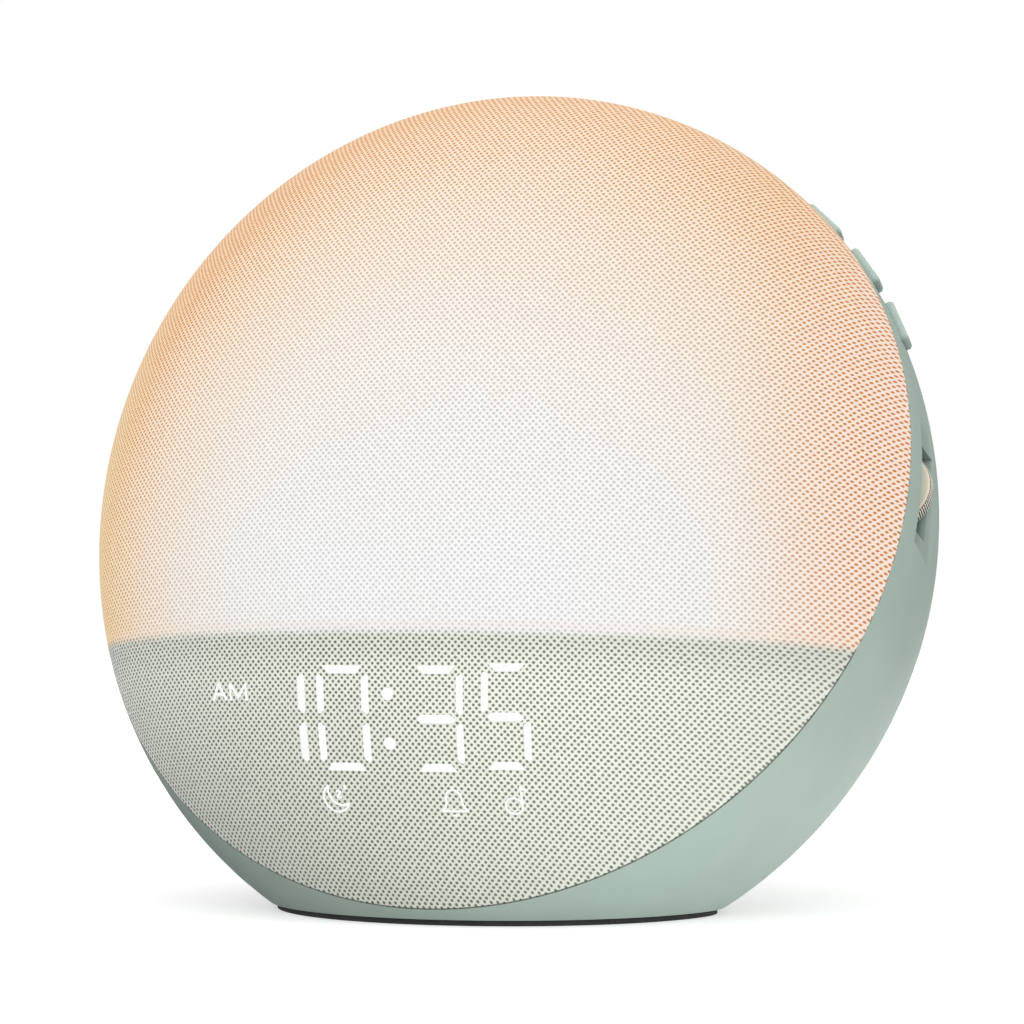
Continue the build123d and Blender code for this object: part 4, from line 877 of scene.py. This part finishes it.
def solderMask(name, mask, track, gap):
    # fibreglass board under solder mask: satin lacquer, tracks show through as a lighter, raised net
    material, add = newMaterial(name)
    place = millimetres(add)
    net = add("TexVoronoi", place, Scale=0.28, distance="CHEBYCHEV", feature="F2")
    wave = add("TexWave", place, Scale=0.33, Distortion=0.0)
    bundle = add("Math.GREATER_THAN", add("Math.MULTIPLY", net, wave), gap)
    weave = add("TexNoise", place, Scale=2.4, Detail=2.0)
    drift = add("ValToRGB", weave, stops=[(0.3, mask), (0.8, track)])
    colour = add("Mix", bundle, srgb(mask), drift, data_type="RGBA")
    return finish(material, add, colour, (weave, 0.26, 0.44), (bundle, 0.7, 0.035), IOR=1.52)


def mouldedRubber(name, light, deep, roughness, pore, poreDepth):
    # rubber: dull and dusty, with fine pores from its mould
    material, add = newMaterial(name)
    place = millimetres(add)
    pores = add("TexVoronoi", place, Scale=1 / pore, feature="SMOOTH_F1")
    dust = add("TexNoise", place, Scale=0.2, Detail=5.0, Roughness=0.7)
    tone = add("Math.MULTIPLY_ADD", pores, 0.3, add("Math.MULTIPLY", dust, 0.8))
    colour = add("ValToRGB", tone, stops=[(0.35, deep), (0.75, light)])
    return finish(material, add, colour, (dust, roughness - 0.08, roughness + 0.08), (pores, 0.6, poreDepth),
                  IOR=1.52, SpecularIORLevel=0.3)


def translucentSilicone():
    # cast silicone: soft, milky and slightly greasy, light goes a little way in
    material, add = newMaterial("translucentSilicone")
    cloud = add("TexNoise", millimetres(add), Scale=0.5, Detail=3.0)
    colour = add("ValToRGB", cloud, stops=[(0.3, "#CFCFC8"), (0.7, "#E4E4DE")])
    return finish(material, add, colour, (cloud, 0.38, 0.56), IOR=1.41, SubsurfaceWeight=0.4,
                  SubsurfaceRadius=(0.0015, 0.0015, 0.0013), SubsurfaceScale=1.0)


def linedSurface(name, ground, line, pitch, wayAcross, roughness, metallic, depth):
    # a ground with even fine lines: the tracks in amber film, or turns of wire side by side
    material, add = newMaterial(name)
    place = millimetres(add)
    across = add("VectorMath.DOT_PRODUCT", place, wayAcross)
    wave = add("Math.ABSOLUTE", add("Math.SINE", add("Math.MULTIPLY", across, pi / pitch)))
    patch = add("TexNoise", place, Scale=0.6, Detail=3.0)
    tone = add("Math.MULTIPLY_ADD", patch, 0.25, add("Math.MULTIPLY", wave, 0.75))
    colour = add("ValToRGB", tone, stops=[(0.25, ground), (0.75, line)])
    return finish(material, add, colour, (patch, roughness - 0.08, roughness + 0.1), (wave, 0.8, depth),
                  Metallic=metallic)


def pressedPaper():
    # pressed pulp cone: black, matt, short fibres lying every way
    material, add = newMaterial("pressedPaper")
    place = millimetres(add)
    fibres = add("TexNoise", place, Scale=1.6, Detail=6.0, Roughness=0.75, Distortion=1.6)
    colour = add("ValToRGB", fibres, stops=[(0.35, "#151515"), (0.7, "#343433")])
    return finish(material, add, colour, relief=(fibres, 0.8, 0.05), Roughness=0.92, SpecularIORLevel=0.2,
                  SheenWeight=0.1)


def dressNodes():
    finishes = {slot: mouldedAbs(*values) for slot, values in plastics.items()}
    finishes.update({slot: streakedMetal(*values) for slot, values in metals.items()})
    speakerWay = (0, cos(lean), -sin(lean))
    finishes.update({
        "opal_plastic": opalPolycarbonate(),
        "light_guide": polishedAcrylic("litAcrylic", "#FFFFFF", "#EDF1F6", 0.9),
        "dark_guide": polishedAcrylic("clearAcrylic", "#8E9297", "#5A5C60", 0.0),
        "led_package": phosphorLamp(),
        "board": solderMask("greenSolderMask", "#1E5539", "#2F7A52", 0.30),
        "white_board": solderMask("whiteSolderMask", "#E6E6E1", "#D4D4CD", 0.30),
        "magnet": mouldedRubber("sinteredFerrite", "#3B3B3D", "#262627", 0.55, 0.5, 0.02),
        "foam_rubber": mouldedRubber("softRubber", "#2A2A2A", "#141414", 0.85, 0.6, 0.06),
        "foot_rubber": mouldedRubber("footRubber", "#3A3B3B", "#242525", 0.75, 0.45, 0.03),
        "silicone": translucentSilicone(),
        "polyimide": linedSurface("polyimideFilm", "#7E4A12", "#B5742B", 1.2, (0, 0, 1), 0.28, 0.0, 0.02),
        "copper": linedSurface("enamelledCopper", "#7C3F1E", "#CE7F4C", 0.3, speakerWay, 0.25, 1.0, 0.05),
        "paper": pressedPaper(),
    })
    replaced = {"rear_housing", "front_fabric", "scroll_wheel", "key_lower", "key_middle", "key_upper"}
    for part in frame["record"]["subparts"]:
        if part["node"] not in replaced:
            paint(part["node"], finishes[part["material_slot"]])
    print("finishes", len(finishes), "on", len(nodes) - len(replaced), "nodes")


dressNodes()


# ---- camera
cameraSetup = {
    "place": (0.2029, -0.6018, 0.0558),
    "target": (0.0, 0.0065, 0.0777),
    "lens": 111.13,
    "sensor": 36.0,
    "shift": (0.0170, 0.0122),
}


def makeCamera():
    data = bpy.data.cameras.new("camera")
    camera = bpy.data.objects.new("camera", data)
    scene.collection.objects.link(camera)
    camera.location = cameraSetup["place"]
    gaze = Vector(cameraSetup["target"]) - camera.location
    camera.rotation_euler = gaze.to_track_quat("-Z", "Y").to_euler()
    data.lens = cameraSetup["lens"]
    data.sensor_width = cameraSetup["sensor"]
    data.shift_x, data.shift_y = cameraSetup["shift"]
    data.clip_start = 0.01
    scene.camera = camera


makeCamera()

# ---- floor and light
studio = {
    "floor": "#CFCFCE",
    "halfFloor": 6,  # m
    "floorGlow": 0.5,
    "glowShare": 0.85,  # share of that light that reaches the clock
    "lampsPool": (80.0, 175.0, 0.18),  # mm across to the middle of the floor's pool of glow, mm it reaches, what is left; the floor's colour is painted darker away from it too
    "bright": 1.86,  # the sky's light from the front, a little to the right
    "dark": 0.34,  # and from behind
    "from": (0.08, -0.95, 0.30),
    "skyFade": (-0.7, 0.75),
    "softbox": (0.75, -0.55, 0.35, 0.5, 0.17),  # x, y, z, size, watts
    "middle": (0, 0, 0.08),  # what it points at
}


def floorMaterial():
    # opal acrylic table, sandblasted and lit from below: an even white ground on which shadows stay faint
    material, add = newMaterial("backlitOpalAcrylic")
    grain = add("TexNoise", millimetres(add), Scale=0.8)
    seen = add("LightPath")  # its first output tells the camera's rays
    middle, far, least = studio["lampsPool"]
    across = add("SeparateXYZ", millimetres(add))
    off = add("Math.ABSOLUTE", add("Math.SUBTRACT", across, middle))
    reach = add("MapRange", off, far, 0.0, least, **eased)
    share = add("Mix", seen, add("Math.MULTIPLY", reach, studio["glowShare"]), 1.0)
    glow = add("Math.MULTIPLY", share, studio["floorGlow"])
    # painted shade: away from the pool the floor's colour is darker for every ray but the camera's, so less
    # light bounces up onto the clock
    plain = add("Mix", seen, reach, 1.0)
    ground = add("VectorMath.SCALE", srgb(studio["floor"])[:3], plain)
    return finish(material, add, ground, relief=(grain, 0.05, 0.1), Roughness=0.9, SpecularIORLevel=0.1,
                  EmissionColor=(1, 1, 1, 1), EmissionStrength=glow)


def makeStudio():
    mesh = bpy.data.meshes.new("floor")
    half = studio["halfFloor"]
    corners = [(-half, -half, 0), (half, -half, 0), (half, half, 0), (-half, half, 0)]
    mesh.from_pydata(corners, [], [(0, 1, 2, 3)])
    mesh.materials.append(floorMaterial())
    floor = bpy.data.objects.new("floor", mesh)
    scene.collection.objects.link(floor)
    world = bpy.data.worlds.new("studio")
    scene.world = world
    world.use_nodes = True
    world.node_tree.nodes.clear()
    add = partial(addNode, world.node_tree)
    way = add("TexCoord").node.outputs["Generated"]
    facing = add("VectorMath.DOT_PRODUCT", way, Vector(studio["from"]).normalized())
    lightness = add("MapRange", facing, *studio["skyFade"], studio["dark"], studio["bright"], **eased)
    seen = add("LightPath")  # its first output tells the camera's rays, which see a plain white backdrop
    add("OutputWorld", add("Background", (1, 1, 1, 1), add("Mix", seen, lightness, 1.0)))
    x, y, z, size, watts = studio["softbox"]
    data = bpy.data.lights.new("softbox", "AREA")
    data.shape = "DISK"
    data.size = size
    data.energy = watts
    lamp = bpy.data.objects.new("softbox", data)
    scene.collection.objects.link(lamp)
    lamp.location = (x, y, z)
    lamp.rotation_euler = (Vector(studio["middle"]) - lamp.location).to_track_quat("-Z", "Y").to_euler()


makeStudio()
print("studio")
